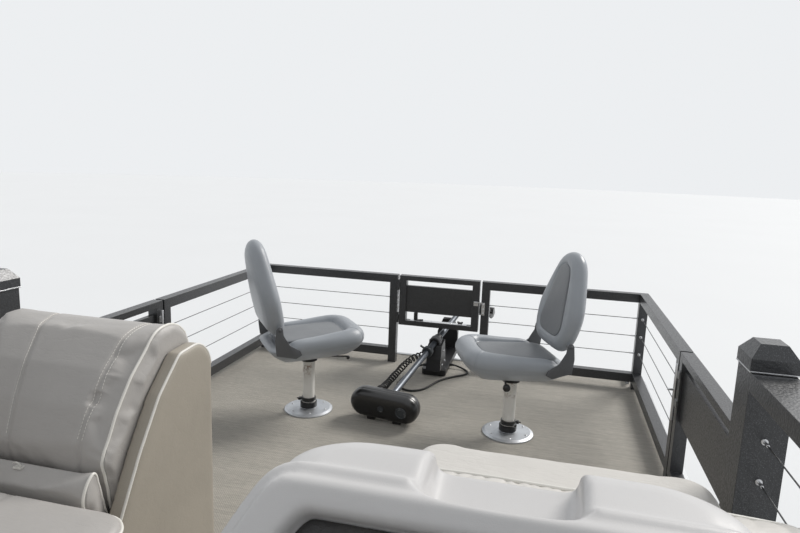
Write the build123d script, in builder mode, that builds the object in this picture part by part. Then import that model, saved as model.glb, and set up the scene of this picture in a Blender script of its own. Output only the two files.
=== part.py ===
from build123d import *
import math
import os

os.makedirs("parts", exist_ok=True)

# Pontoon boat with two tubes, cable rail fences, three furniture groups and an outboard motor.
# Units are millimetres. +X is the bow, +Y is port, +Z is up, and z = 0 is the foot of the keels.
# Places along the boat are given as x from the inner face of the bow rail, positive forward.

# Hull
keel_height = 20.0
keel_width = 32.0
tube_diameter = 635.0
tube_spacing = 1870.0
riser_height = 24.0
member_height = 76.0
deck_thickness = 25.0
beam = 2590.0
deck_ahead_of_rail = 200.0
deck_behind_rail = 6400.0
tube_stern_inset = 130.0
nose_start = 60.0
nose_length = 600.0
edge_wall = 6.0
edge_skirt = deck_thickness + member_height - 1
edge_lip = 26.0
deck_corner_radius = 60.0
notch_width = 720.0
notch_depth = 340.0

# Fences and gates
fence_outer = 1240.0
rail_tube = 50.0
bow_rail_top = 585.0
bottom_rail_low = 45.0
bottom_rail_high = 97.0
cable_diameter = 4.0
cable_first = 220.0
cable_step = 107.0
side_front_length = 1134.0
big_post_size = 101.6
big_post_front = 2014.0
big_post_height = 856.0
aft_rail_top = 820.0
aft_rail_height = 46.0
stern_fence = 5290.0
gate_gap = 14.0
bow_gate_port = 278.0
bow_gate_starboard = 265.0
bow_gate_low = 260.0
sign_low = 347.0
sign_high = 520.0
slot_high = 555.0
sign_thickness = 24.0

# Fits
pin_clearance = 0.05
rest_gap = 0.2
soft_gap = 0.5

# Heights that follow from the stack of tube, riser, cross member and deck
tube_radius = tube_diameter / 2
tube_axis_z = keel_height + tube_radius
tube_top = keel_height + tube_diameter
member_low = tube_top + riser_height
deck_low = member_low + member_height
deck_z = deck_low + deck_thickness

# Outboard motor
transom_plate = 44.0
transom_gap = 56.0
transom_rise = 30.0
transom_drop = 510.0
transom_top = deck_z + transom_rise
cavitation_z = transom_top - transom_drop
steer_behind_transom = 165.0
leg_behind_steer = 150.0
gear_behind_leg = 200.0
hub_ahead = 42.0
hub_behind = 44.0
cowl_half_length = 300.0
cowl_behind_steer = 70.0
shaft_below_plate = 150.0
propeller_radius = 130.0

# Overall length and the place of the bow rail
notch_front = deck_behind_rail - notch_depth
propeller_behind_steer = leg_behind_steer + gear_behind_leg + hub_ahead
motor_reach = transom_gap + transom_plate + steer_behind_transom + propeller_behind_steer + hub_behind
nose_tip = nose_start + nose_length
overall_length = nose_tip + notch_front + motor_reach
rail_x = overall_length / 2 - nose_tip


def at(from_rail):
    """Build-frame x of a place given from the inner face of the bow rail."""
    return rail_x + from_rail


def up(above_deck):
    """Build-frame z of a height above the deck."""
    return deck_z + above_deck


def save(piece, name):
    """Label a finished piece and write it."""
    piece.part.label = name
    export_step(piece.part, f"parts/{name}.step")


def cross_plane(x):
    """Plane across the boat at x, drawn with y to the right and z up."""
    return Plane(origin=(x, 0, 0), x_dir=(0, 1, 0), z_dir=(1, 0, 0))


def side_plane(y):
    """Upright plane along the boat at y, drawn with x to the right and z up."""
    return Plane(origin=(0, y, 0), x_dir=(1, 0, 0), z_dir=(0, -1, 0))


# Pontoon tubes
deck_bow = at(deck_ahead_of_rail)
deck_stern = at(-deck_behind_rail)
tube_stern = deck_stern + tube_stern_inset
riser_inner = 62.0
riser_outer = 108.0
riser_sink = 26.0
eye_ahead = 468.0
eye_rise = 2.0
eye_hole = 13.0
eye_rim = 17.0
eye_plate = 12.0
seam_width = 14.0
seam_rise = 3.0
# columns: share of the nose length, share of the tube radius, drop of the top line
nose_sections = [
    (0.0, 1.0, 0.0),
    (0.36, 0.91, 6.0),
    (0.70, 0.66, 26.0),
    (0.92, 0.34, 62.0),
    (1.0, 0.13, 96.0),
]


def make_tube(side, name):
    y = side * tube_spacing / 2
    nose_x = at(nose_start)
    with BuildPart() as tube:
        with BuildSketch(cross_plane(tube_stern)):
            with Locations((y, tube_axis_z)):
                Circle(tube_radius)
        extrude(amount=nose_x - tube_stern)
        for ahead, share, drop in nose_sections:
            radius = tube_radius * share
            with BuildSketch(cross_plane(nose_x + ahead * nose_length)):
                with Locations((y, tube_top - drop - radius)):
                    Circle(radius)
        loft(ruled=True)
        seam_count = 4
        for index in range(seam_count):
            seam_x = nose_x - index * (nose_x - tube_stern - seam_width) / (seam_count - 1)
            with BuildSketch(cross_plane(seam_x - seam_width)):
                with Locations((y, tube_axis_z)):
                    Circle(tube_radius + seam_rise)
            extrude(amount=seam_width)
        with BuildSketch(cross_plane(tube_stern)):
            with Locations((y, tube_axis_z - tube_radius / 2 - keel_height / 2)):
                Rectangle(keel_width, tube_radius + keel_height)
        extrude(amount=nose_x - tube_stern)
        with BuildSketch(cross_plane(tube_stern)):
            rail_width = riser_outer - riser_inner
            with Locations(
                (y + (riser_inner + riser_outer) / 2, member_low - (riser_height + riser_sink) / 2),
                (y - (riser_inner + riser_outer) / 2, member_low - (riser_height + riser_sink) / 2),
            ):
                Rectangle(rail_width, riser_height + riser_sink)
        extrude(amount=deck_bow - 60 - tube_stern)
        eye_spot = (at(eye_ahead), tube_top + eye_rise)
        with BuildSketch(side_plane(y)):
            Polygon([
                (eye_spot[0] - 58, tube_top - 70), (eye_spot[0] + 60, tube_top - 110),
                (eye_spot[0] + eye_hole + eye_rim, eye_spot[1]),
                (eye_spot[0] - eye_hole - eye_rim, eye_spot[1]),
            ])
            with Locations(eye_spot):
                Circle(eye_hole + eye_rim)
                Circle(eye_hole, mode=Mode.SUBTRACT)
        extrude(amount=eye_plate / 2, both=True)
    save(tube, name)


make_tube(1, "tube_port")
make_tube(-1, "tube_starboard")

# Cross members, channels laid on the risers
member_width = 44.0
member_wall = 4.0
member_inset = 80.0
member_count = 17
member_step = (deck_bow - deck_stern - 2 * member_inset) / (member_count - 1)
member_first = deck_bow - member_inset
with BuildPart() as cross_members:
    with BuildSketch(side_plane(0)):
        for index in range(member_count):
            x = member_first - index * member_step
            with Locations((x, member_low + member_height / 2)):
                Rectangle(member_width, member_height)
            with Locations((x + member_wall, member_low + member_height / 2)):
                Rectangle(member_width, member_height - 2 * member_wall, mode=Mode.SUBTRACT)
    extrude(amount=beam / 2 - edge_wall - 2, both=True)
    with BuildSketch(Plane.XY.offset(member_low)):
        with Locations((deck_stern, 0)):
            Rectangle(2 * notch_depth + 90, notch_width + 2 * edge_wall + 4)
    extrude(amount=member_height, mode=Mode.SUBTRACT)
save(cross_members, "cross_members")


def deck_face(inset):
    """Plan of the deck, moved in from its outer edge by inset, with the stern notch."""
    length = deck_bow - deck_stern
    with Locations((deck_stern + length / 2, 0)):
        RectangleRounded(length - 2 * inset, beam - 2 * inset, deck_corner_radius - inset / 2)
    with Locations((deck_stern, 0)):
        Rectangle(2 * (notch_depth + inset), notch_width + 2 * inset, mode=Mode.SUBTRACT)


with BuildPart() as deck:
    with BuildSketch(Plane.XY.offset(deck_low)):
        deck_face(edge_wall)
    extrude(amount=deck_thickness)
save(deck, "deck")

with BuildPart() as edge_trim:
    with BuildSketch(Plane.XY.offset(deck_z - edge_skirt)):
        deck_face(0)
    extrude(amount=edge_skirt + edge_wall)
    with BuildSketch(Plane.XY.offset(deck_z - edge_skirt)):
        deck_face(edge_wall)
    extrude(amount=edge_skirt, mode=Mode.SUBTRACT)
    with BuildSketch(Plane.XY.offset(deck_z)):
        deck_face(edge_lip)
    extrude(amount=edge_wall, mode=Mode.SUBTRACT)
save(edge_trim, "edge_trim")

# Motor pod, hung from the cross members, with the transom plate at its stern end
pod_length = 1150.0
pod_width = 500.0
pod_keel_width = 180.0
pod_low = cavitation_z + 20
transom_x = at(-notch_front) - transom_gap - transom_plate
transom_width = 560.0
with BuildPart() as motor_pod:
    with BuildSketch(cross_plane(transom_x)):
        Polygon([
            (-pod_width / 2, member_low),
            (-pod_width / 2, member_low - 120),
            (-pod_keel_width / 2, pod_low),
            (pod_keel_width / 2, pod_low),
            (pod_width / 2, member_low - 120),
            (pod_width / 2, member_low),
        ])
    extrude(amount=pod_length)
    with BuildSketch(side_plane(0)):
        Polygon([
            (transom_x + pod_length - 420, pod_low),
            (transom_x + pod_length, pod_low),
            (transom_x + pod_length, member_low - 30),
        ])
    extrude(amount=pod_width, both=True, mode=Mode.SUBTRACT)
    with BuildSketch(cross_plane(transom_x)):
        Polygon([
            (-transom_width / 2, transom_top - 60),
            (-transom_width / 2 + 60, transom_top),
            (transom_width / 2 - 60, transom_top),
            (transom_width / 2, transom_top - 60),
            (pod_width / 2, member_low - 120),
            (-pod_width / 2, member_low - 120),
        ])
    extrude(amount=transom_plate)
save(motor_pod, "motor_pod")


def upright_plane(x, y, heading):
    """Upright plane with its corner on the deck at x, y, running along the heading in degrees."""
    angle = math.radians(heading)
    return Plane(
        origin=(x, y, deck_z),
        x_dir=(math.cos(angle), math.sin(angle), 0),
        z_dir=(math.sin(angle), -math.cos(angle), 0),
    )


def across_plane(x, y, heading):
    """Upright plane square to the heading, for what runs along the fence."""
    angle = math.radians(heading)
    return Plane(
        origin=(x, y, deck_z),
        x_dir=(-math.sin(angle), math.cos(angle), 0),
        z_dir=(math.cos(angle), math.sin(angle), 0),
    )


# Gate hinges. Each hinge line lies in the gap beside the leaf, on the fence's inner face.
hinge_pin = 4.0
knuckle_radius = gate_gap / 2 - 0.4
knuckle_height = 32.0
lug_height = 18.0
hinge_web = 9.0
stern_line = at(-(stern_fence + big_post_size / 2))
side_hinge_x = at(gate_gap / 2 - big_post_front)
side_hinge_y = fence_outer - rail_tube
stern_gate_port = fence_outer - big_post_size
# columns: x, y, direction of the post in degrees, heights of the knuckles above the deck
hinges = {
    "bow": (at(0), bow_gate_port - gate_gap / 2, 90, [292, 508]),
    "port": (side_hinge_x, side_hinge_y, 180, [110, 480]),
    "starboard": (side_hinge_x, -side_hinge_y, 180, [110, 480]),
    "stern": (stern_line + rail_tube / 2, stern_gate_port - gate_gap / 2, 90, [110, 700]),
}


def hinge_barrel(x, y, toward, low, tall):
    """Upright hinge barrel with a web across the gap to the piece that carries it."""
    angle = math.radians(toward)
    level = Plane(origin=(x, y, up(low)), x_dir=(math.cos(angle), math.sin(angle), 0), z_dir=(0, 0, 1))
    with BuildSketch(level) as section:
        Circle(knuckle_radius)
        with Locations((gate_gap / 4, 0)):
            Rectangle(gate_gap / 2, hinge_web)
    extrude(section.sketch, amount=tall)


def hinge_round(x, y, radius, low, tall, mode=Mode.ADD):
    """Upright round on a hinge line, for a pin or a bore."""
    with BuildSketch(Plane.XY.offset(up(low))) as section:
        with Locations((x, y)):
            Circle(radius)
    extrude(section.sketch, amount=tall, mode=mode)


def hinge_lugs(gate):
    """Pins held by a lug below and a lug above each knuckle, carried by the post."""
    x, y, toward, heights = hinges[gate]
    span = knuckle_height + 2 * rest_gap
    for height in heights:
        hinge_barrel(x, y, toward, height - lug_height, lug_height)
        hinge_barrel(x, y, toward, height + span, lug_height)
        hinge_round(x, y, hinge_pin, height - lug_height / 2, span + lug_height)


def hinge_knuckles(gate):
    """Bored knuckles that turn on the pins, carried by the gate leaf."""
    x, y, toward, heights = hinges[gate]
    for height in heights:
        hinge_barrel(x, y, toward + 180, height + rest_gap, knuckle_height)
        hinge_round(x, y, hinge_pin + pin_clearance, height, knuckle_height + 2 * rest_gap, Mode.SUBTRACT)


def rail_fence(name, x, y, heading, length, posts, top, top_height, top_width, cables):
    """One straight run of fence: posts, a bottom rail, a top rail and taut cables."""
    plane = upright_plane(x, y, heading)
    with BuildPart() as run:
        with BuildSketch(plane):
            for post in posts:
                with Locations((post + rail_tube / 2, top / 2)):
                    Rectangle(rail_tube, top)
            with Locations((length / 2, (bottom_rail_low + bottom_rail_high) / 2)):
                Rectangle(length, bottom_rail_high - bottom_rail_low)
        extrude(amount=rail_tube / 2, both=True)
        with BuildSketch(plane):
            with Locations((length / 2, top - top_height / 2)):
                Rectangle(length, top_height)
        extrude(amount=top_width / 2, both=True)
        with BuildSketch(across_plane(x, y, heading)):
            for index in range(cables):
                with Locations((0, cable_first + index * cable_step)):
                    Circle(cable_diameter / 2)
        extrude(amount=length)
        if name == "fence_bow_port":
            hinge_lugs("bow")
    save(run, name)


fence_line = fence_outer - rail_tube / 2
front_cables = 3
aft_cables = 5

# Bow fence, one run each side of the bow gate
bow_runs = [
    ("fence_bow_port", bow_gate_port, fence_outer),
    ("fence_bow_starboard", -fence_outer, -bow_gate_starboard),
]
for run_name, start_y, end_y in bow_runs:
    run_length = end_y - start_y
    rail_fence(
        run_name, at(rail_tube / 2), start_y, 90, run_length, [0, run_length - rail_tube],
        bow_rail_top, rail_tube, rail_tube, front_cables,
    )

# Side fences of the fore deck, with the doubled post at their stern end
for side, side_name in ((1, "port"), (-1, "starboard")):
    rail_fence(
        f"fence_fore_{side_name}", at(-side_front_length), side * fence_line, 0, side_front_length, [0],
        bow_rail_top, rail_tube, rail_tube, front_cables,
    )

# Side fences of the aft cockpit, between the big posts
big_post_aft = big_post_front + big_post_size
aft_run_length = stern_fence - big_post_aft
aft_posts = 2
big_post_line = fence_outer - big_post_size / 2
for side, side_name in ((1, "port"), (-1, "starboard")):
    spots = [(index + 1) * aft_run_length / (aft_posts + 1) - rail_tube / 2 for index in range(aft_posts)]
    rail_fence(
        f"fence_aft_{side_name}", at(-stern_fence), side * big_post_line, 0, aft_run_length, spots,
        aft_rail_top, aft_rail_height, big_post_size, aft_cables,
    )

# Big square posts with pyramid caps, at both ends of the aft side fences
cap_overhang = 4.0
cap_skirt = 34.0
cap_rise = 34.0
cap_flat = 62.0
post_middles = [-(big_post_front + big_post_size / 2), -(stern_fence + big_post_size / 2)]
with BuildPart() as corner_posts:
    for middle in post_middles:
        for side in (1, -1):
            spot = (at(middle), side * big_post_line)
            with BuildSketch(Plane.XY.offset(deck_z)):
                with Locations(spot):
                    Rectangle(big_post_size, big_post_size)
            extrude(amount=big_post_height)
            with BuildSketch(Plane.XY.offset(up(big_post_height - cap_skirt))):
                with Locations(spot):
                    Rectangle(big_post_size + 2 * cap_overhang, big_post_size + 2 * cap_overhang)
            extrude(amount=cap_skirt)
            with BuildSketch(Plane.XY.offset(up(big_post_height))):
                with Locations(spot):
                    Rectangle(big_post_size + 2 * cap_overhang, big_post_size + 2 * cap_overhang)
            with BuildSketch(Plane.XY.offset(up(big_post_height + cap_rise))):
                with Locations(spot):
                    Rectangle(cap_flat, cap_flat)
            loft()
    for gate in ("port", "starboard", "stern"):
        hinge_lugs(gate)
save(corner_posts, "corner_posts")

# Stern fence between the stern posts, with a gate opening on the port side
stern_gate_starboard = 500.0
stern_run_start = -(big_post_line - big_post_size / 2)
stern_run_length = stern_gate_starboard - stern_run_start
rail_fence(
    "fence_stern", stern_line, stern_run_start, 90, stern_run_length,
    [stern_run_length / 2 - rail_tube / 2, stern_run_length - rail_tube],
    aft_rail_top, aft_rail_height, big_post_size, aft_cables,
)


stile = 45.0
gate_sill = 30.0


def sign_gate(name, x, y, heading, length, low, top, slot_top, panel_top, panel_low):
    """A gate leaf: a tube frame, a blank sign panel, and slots above and below the panel."""
    plane = upright_plane(x, y, heading)
    with BuildPart() as leaf:
        with BuildSketch(plane):
            with Locations((length / 2, (top + low) / 2)):
                Rectangle(length, top - low)
            with Locations((length / 2, (slot_top + low + gate_sill) / 2)):
                Rectangle(length - 2 * stile, slot_top - low - gate_sill, mode=Mode.SUBTRACT)
        extrude(amount=rail_tube / 2, both=True)
        with BuildSketch(plane):
            with Locations((length / 2, (panel_top + panel_low) / 2)):
                Rectangle(length - 2 * stile, panel_top - panel_low)
        extrude(amount=sign_thickness / 2, both=True)
        hinge_knuckles(name.removeprefix("gate_"))
    save(leaf, name)


# Gate leaves
gate_foot = 58.0
bow_gate_start = -bow_gate_starboard + gate_gap
bow_gate_length = bow_gate_port - gate_gap - bow_gate_start
sign_gate(
    "gate_bow", at(rail_tube / 2), bow_gate_start, 90, bow_gate_length, bow_gate_low, bow_rail_top,
    slot_high, sign_high, sign_low,
)

side_sign_low = 307.0
side_gate_start = -(big_post_front - gate_gap)
side_gate_length = big_post_front - side_front_length - 2 * gate_gap
for side, side_name in ((1, "port"), (-1, "starboard")):
    sign_gate(
        f"gate_{side_name}", at(side_gate_start), side * fence_line, 0, side_gate_length, gate_foot,
        bow_rail_top, slot_high, sign_high, side_sign_low,
    )

stern_gate_length = stern_gate_port - stern_gate_starboard - 2 * gate_gap
stern_sign_drop = 80.0
stern_sign_height = 210.0
sign_gate(
    "gate_stern", stern_line, stern_gate_starboard + gate_gap, 90, stern_gate_length, gate_foot,
    aft_rail_top, aft_rail_top - aft_rail_height, aft_rail_top - stern_sign_drop,
    aft_rail_top - stern_sign_drop - stern_sign_height,
)


def turned_plane(x, y, heading, height):
    """Level plane at a height above the deck, its x axis along the heading in degrees."""
    angle = math.radians(heading)
    return Plane(origin=(x, y, up(height)), x_dir=(math.cos(angle), math.sin(angle), 0), z_dir=(0, 0, 1))


def rounded_loft(x, y, heading, sections):
    """Loft through level rounded rectangles. Columns: height, length, width, shift, corner radius."""
    levels = []
    for height, length, width, shift, radius in sections:
        with BuildSketch(turned_plane(x, y, heading, height)) as level:
            with Locations((shift, 0)):
                RectangleRounded(length, width, radius)
        levels.append(level.sketch.face())
    loft(sections=levels, ruled=True)


# Pedestal fishing seats: a fixed plate and post, a seat that swivels, a back that folds on it
plate_diameter = 250.0
post_diameter = 60.0
post_collar = 86.0
seat_low = 300.0
# columns: name, x from the bow rail, y, heading in degrees
fishing_seats = [("port", -879.0, 522.0, -52.0), ("starboard", -839.0, -514.0, 112.0)]
# columns: height, length, width, shift, corner radius
seat_pan_sections = [
    (seat_low + 12, 250, 250, 0, 60),
    (seat_low + 36, 400, 400, 10, 110),
    (seat_low + 62, 450, 450, 12, 130),
    (seat_low + 84, 460, 460, 12, 130),
]
seat_pad_sections = [
    (seat_low + 84, 410, 440, 66, 120),
    (seat_low + 116, 420, 450, 68, 120),
    (seat_low + 138, 350, 380, 60, 110),
]
seat_back_sections = [
    (425, 66, 290, -196, 30),
    (520, 96, 370, -210, 44),
    (680, 96, 400, -236, 44),
    (800, 86, 360, -262, 40),
    (875, 66, 240, -284, 30),
    (902, 36, 120, -290, 16),
]
fold_x = -200.0
fold_height = 500.0
fold_pin = 10.0
fold_cheek_inner = 200.0
fold_cheek = 10.0


def fold_plane(x, y, heading, side_offset):
    """Upright plane beside the seat, square to the fold pin, offset to one side of the seat."""
    plane = upright_plane(x, y, heading)
    return plane.offset(-side_offset)


for seat_name, seat_x, seat_y, heading in fishing_seats:
    x = at(seat_x)
    with BuildPart() as pedestal:
        with BuildSketch(side_plane(seat_y)):
            Polygon([
                (x, deck_z),
                (x + plate_diameter / 2, deck_z),
                (x + plate_diameter / 2, deck_z + 6),
                (x + plate_diameter / 2 - 14, deck_z + 12),
                (x + post_collar / 2, deck_z + 16),
                (x + post_collar / 2, deck_z + 44),
                (x + post_diameter / 2, deck_z + 48),
                (x + post_diameter / 2, up(seat_low - 34)),
                (x + post_collar / 2, up(seat_low - 30)),
                (x + post_collar / 2, up(seat_low)),
                (x, up(seat_low)),
            ])
        revolve(axis=Axis((x, seat_y, 0), (0, 0, 1)))
    save(pedestal, f"pedestal_{seat_name}")

    with BuildPart() as seat_pan:
        with BuildSketch(turned_plane(x, seat_y, heading, seat_low + 0.3)):
            RectangleRounded(180, 180, 20)
        extrude(amount=11.7)
        rounded_loft(x, seat_y, heading, seat_pan_sections)
        rounded_loft(x, seat_y, heading, seat_pad_sections)
        for side in (1, -1):
            cheek_middle = side * (fold_cheek_inner + fold_cheek / 2)
            with BuildSketch(fold_plane(x, seat_y, heading, cheek_middle)):
                Polygon([
                    (fold_x - 34, seat_low + 62),
                    (fold_x + 50, seat_low + 62),
                    (fold_x + 18, fold_height + 14),
                    (fold_x - 18, fold_height + 14),
                ])
            extrude(amount=fold_cheek / 2, both=True)
            with BuildSketch(fold_plane(x, seat_y, heading, side * (fold_cheek_inner - 10))):
                with Locations((fold_x, fold_height)):
                    Circle(fold_pin / 2)
            extrude(amount=12, both=True)
    save(seat_pan, f"seat_{seat_name}")

    with BuildPart() as seat_back:
        rounded_loft(x, seat_y, heading, seat_back_sections)
        with BuildSketch(fold_plane(x, seat_y, heading, 0)):
            with Locations((fold_x, fold_height)):
                Circle(fold_pin / 2 + pin_clearance)
        extrude(amount=fold_cheek_inner, both=True, mode=Mode.SUBTRACT)
    save(seat_back, f"seat_back_{seat_name}")

# Port lounge: base, end panel, backrest, lumbar bolster, seat cushion and side backrest
lounge_front = -2022.0
lounge_aft = -3760.0
lounge_inner = 380.0
panel_thickness = 48.0
lounge_outer = fence_outer - big_post_size - 18
back_outer = lounge_outer - 122
base_height = 330.0
toe_kick = 60.0
toe_depth = 40.0
seat_front = -2532.0
seat_inner = 252.0
seat_top = 452.0
with BuildPart() as lounge_base:
    with BuildSketch(Plane.XY.offset(up(toe_kick))):
        Polygon([
            (at(lounge_front - 10), lounge_inner + panel_thickness),
            (at(lounge_front - 10), lounge_outer),
            (at(lounge_aft), lounge_outer),
            (at(lounge_aft), seat_inner + 50),
            (at(seat_front - 170), seat_inner + 50),
            (at(seat_front - 170), lounge_inner + panel_thickness),
        ])
    extrude(amount=base_height - toe_kick)
    with BuildSketch(Plane.XY.offset(deck_z)):
        Polygon([
            (at(lounge_front - 10), lounge_inner + panel_thickness),
            (at(lounge_front - 10), lounge_outer),
            (at(lounge_aft + toe_depth), lounge_outer),
            (at(lounge_aft + toe_depth), seat_inner + 50 + toe_depth),
            (at(seat_front - 170 - toe_depth), seat_inner + 50 + toe_depth),
            (at(seat_front - 170 - toe_depth), lounge_inner + panel_thickness),
        ])
    extrude(amount=toe_kick)
save(lounge_base, "lounge_base")

with BuildPart() as lounge_panel:
    with BuildSketch(side_plane(lounge_inner + panel_thickness / 2)):
        with BuildLine():
            Polyline(
                (at(-2197), up(728)), (at(-2300), up(635)), (at(-2393), up(501)),
                (at(-2489), up(333)), (at(-2665), up(4)), (at(lounge_front), up(4)),
                (at(lounge_front), up(640)),
            )
            ThreePointArc(
                (at(lounge_front), up(640)), (at(lounge_front - 34), up(708)), (at(-2110), up(735)),
            )
            Line((at(-2110), up(735)), (at(-2197), up(728)))
        make_face()
    extrude(amount=panel_thickness / 2, both=True)
    top_edges = lounge_panel.edges().filter_by(Axis.Y, reverse=True)
    fillet(top_edges.group_by(Axis.Y)[0], 14)
save(lounge_panel, "lounge_panel")

back_inner = lounge_inner + panel_thickness + soft_gap
with BuildPart() as lounge_back:
    with BuildSketch(side_plane((back_inner + back_outer) / 2)):
        with BuildLine():
            Polyline(
                (at(-2268), up(772)), (at(-2345), up(705)), (at(-2412), up(620)), (at(-2462), up(530)),
                (at(-2476), up(497)), (at(-2440), up(base_height + soft_gap)),
                (at(-2044), up(base_height + soft_gap)), (at(-2044), up(700)),
            )
            ThreePointArc((at(-2044), up(700)), (at(-2140), up(810)), (at(-2268), up(772)))
        make_face()
    extrude(amount=(back_outer - back_inner) / 2 - soft_gap, both=True)
save(lounge_back, "lounge_back")

with BuildPart() as lounge_bolster:
    with BuildSketch(side_plane((back_inner + back_outer) / 2)):
        with BuildLine():
            Polyline(
                (at(-2477), up(494)), (at(-2442), up(base_height + soft_gap)),
                (at(-2516), up(base_height + soft_gap)), (at(-2525), up(400)),
            )
            ThreePointArc((at(-2525), up(400)), (at(-2517), up(460)), (at(-2477), up(494)))
        make_face()
    extrude(amount=(back_outer - back_inner) / 2 - soft_gap, both=True)
save(lounge_bolster, "lounge_bolster")

cushion_radius = 90.0
with BuildPart() as lounge_seat:
    with BuildSketch(Plane.XY.offset(up(base_height + soft_gap))):
        with Locations((at((seat_front + lounge_aft) / 2), (seat_inner + back_outer) / 2)):
            RectangleRounded(
                seat_front - lounge_aft - 2 * soft_gap, back_outer - seat_inner - 2 * soft_gap, cushion_radius,
            )
    extrude(amount=seat_top - base_height)
    fillet(lounge_seat.faces().sort_by(Axis.Z)[-1].edges(), 30)
save(lounge_seat, "lounge_seat")

with BuildPart() as lounge_side:
    with BuildSketch(cross_plane(at(lounge_aft + 10))):
        with BuildLine():
            Polyline(
                (lounge_outer - 4, up(base_height + soft_gap)), (lounge_outer - 4, up(720)),
                (lounge_outer - 14, up(748)), (lounge_outer - 62, up(762)),
                (lounge_outer - 100, up(730)), (back_outer + soft_gap, up(480)),
                (back_outer + soft_gap, up(base_height + soft_gap)), close=True,
            )
        make_face()
    extrude(amount=-2180 - lounge_aft - 10)
save(lounge_side, "lounge_side")

# Forward starboard bench, ahead of the helm console
bench_front = -2022.0
bench_port = -300.0
bench_starboard = -(fence_outer - big_post_size - 18)
bench_width = bench_port - bench_starboard
bench_middle = (bench_port + bench_starboard) / 2
bench_back_front = -2520.0
bench_back_aft = -2800.0
with BuildPart() as bench_base:
    with BuildSketch(Plane.XY.offset(up(toe_kick))):
        with Locations((at((bench_front - 40 + bench_back_aft) / 2), bench_middle)):
            Rectangle(bench_front - 40 - bench_back_aft, bench_width - 30)
    extrude(amount=base_height + 40 - toe_kick)
    with BuildSketch(Plane.XY.offset(deck_z)):
        with Locations((at((bench_front - 40 - toe_depth + bench_back_aft) / 2), bench_middle)):
            Rectangle(bench_front - 40 - toe_depth - bench_back_aft, bench_width - 30)
    extrude(amount=toe_kick)
save(bench_base, "bench_base")

bench_seat_low = base_height + 40 + soft_gap
bench_seat_top = 500.0
with BuildPart() as bench_seat:
    with BuildSketch(Plane.XY.offset(up(bench_seat_low))):
        with Locations((at((bench_front + bench_back_front) / 2), bench_middle)):
            RectangleRounded(bench_front - bench_back_front - 2 * soft_gap, bench_width, cushion_radius)
    extrude(amount=bench_seat_top - bench_seat_low)
    fillet(bench_seat.faces().sort_by(Axis.Z)[-1].edges(), 34)
save(bench_seat, "bench_seat")

bench_back_top = 750.0
with BuildPart() as bench_back:
    with BuildSketch(side_plane(bench_middle)):
        with BuildLine():
            Polyline(
                (at(-2610), up(720)), (at(bench_back_front), up(bench_seat_top)),
                (at(bench_back_front - 6), up(bench_seat_low)), (at(bench_back_aft), up(bench_seat_low)),
                (at(bench_back_aft), up(690)),
            )
            ThreePointArc(
                (at(bench_back_aft), up(690)), (at(-2725), up(bench_back_top)), (at(-2610), up(720)),
            )
        make_face()
    extrude(amount=bench_width / 2, both=True)
    bench_ends = bench_back.faces().filter_by(Axis.Y)
    fillet(bench_ends.edges().filter_by(GeomType.CIRCLE), 24)
save(bench_back, "bench_back")


def shifted(point, normal, distance):
    """A point of a side outline moved along a unit normal."""
    return (point[0] + normal[0] * distance, point[1] + normal[1] * distance)


# Helm console: cabinet with a moulded top, hooded cowl, dash, wheel and throttle
console_middle = -600.0
console_width = 600.0
console_front = -2850.0
console_top = 900.0
wheel_x = at(-3350)
wheel_height = up(770)
wheel_tilt = 52.0
wheel_radius = 165.0
wheel_rim = 14.0
column_radius = 12.0
tilt = math.radians(wheel_tilt)
column_dir = (-math.sin(tilt), 0, math.cos(tilt))
wheel_plane = Plane(origin=(wheel_x, console_middle, wheel_height), x_dir=(0, 1, 0), z_dir=column_dir)
boss_radius = 34.0
boss_depth = 150.0
dash_top = (at(-3070), up(922))
dash_knee = (at(-3210), up(760))
dash_foot = (at(-3235), up(650))
dash_thickness = 12.0
scoop_width = 176.0
scoop_depth = 46.0
with BuildPart() as console_cabinet:
    with BuildSketch(cross_plane(at(console_front))):
        with Locations((console_middle, up(console_top / 2 + 14))):
            RectangleRounded(console_width, console_top + 28, 70)
        with Locations((console_middle, up(60))):
            Rectangle(console_width, 148)
    extrude(amount=-460)
    with BuildSketch(side_plane(console_middle)):
        with BuildLine():
            Polyline(
                (at(-2972), up(904)), dash_top, dash_knee, dash_foot,
                (at(-3180), up(560)), (at(-3170), deck_z),
                (at(console_front - 20), deck_z), (at(console_front - 44), up(820)),
            )
            ThreePointArc((at(console_front - 44), up(820)), (at(-2916), up(880)), (at(-2972), up(904)))
        make_face()
    extrude(amount=console_width, both=True, mode=Mode.INTERSECT)
    with BuildSketch(side_plane(console_middle)):
        Polygon([
            (at(-3036), up(console_top + 60)), (at(-3022), up(console_top - scoop_depth)),
            (at(console_front), up(console_top - scoop_depth - 10)), (at(console_front), up(console_top + 60)),
        ])
    extrude(amount=scoop_width / 2, both=True, mode=Mode.SUBTRACT)
    with BuildSketch(wheel_plane.offset(-boss_depth - soft_gap)):
        Circle(boss_radius + soft_gap)
    extrude(amount=boss_depth, mode=Mode.SUBTRACT)
save(console_cabinet, "console_cabinet")

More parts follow.
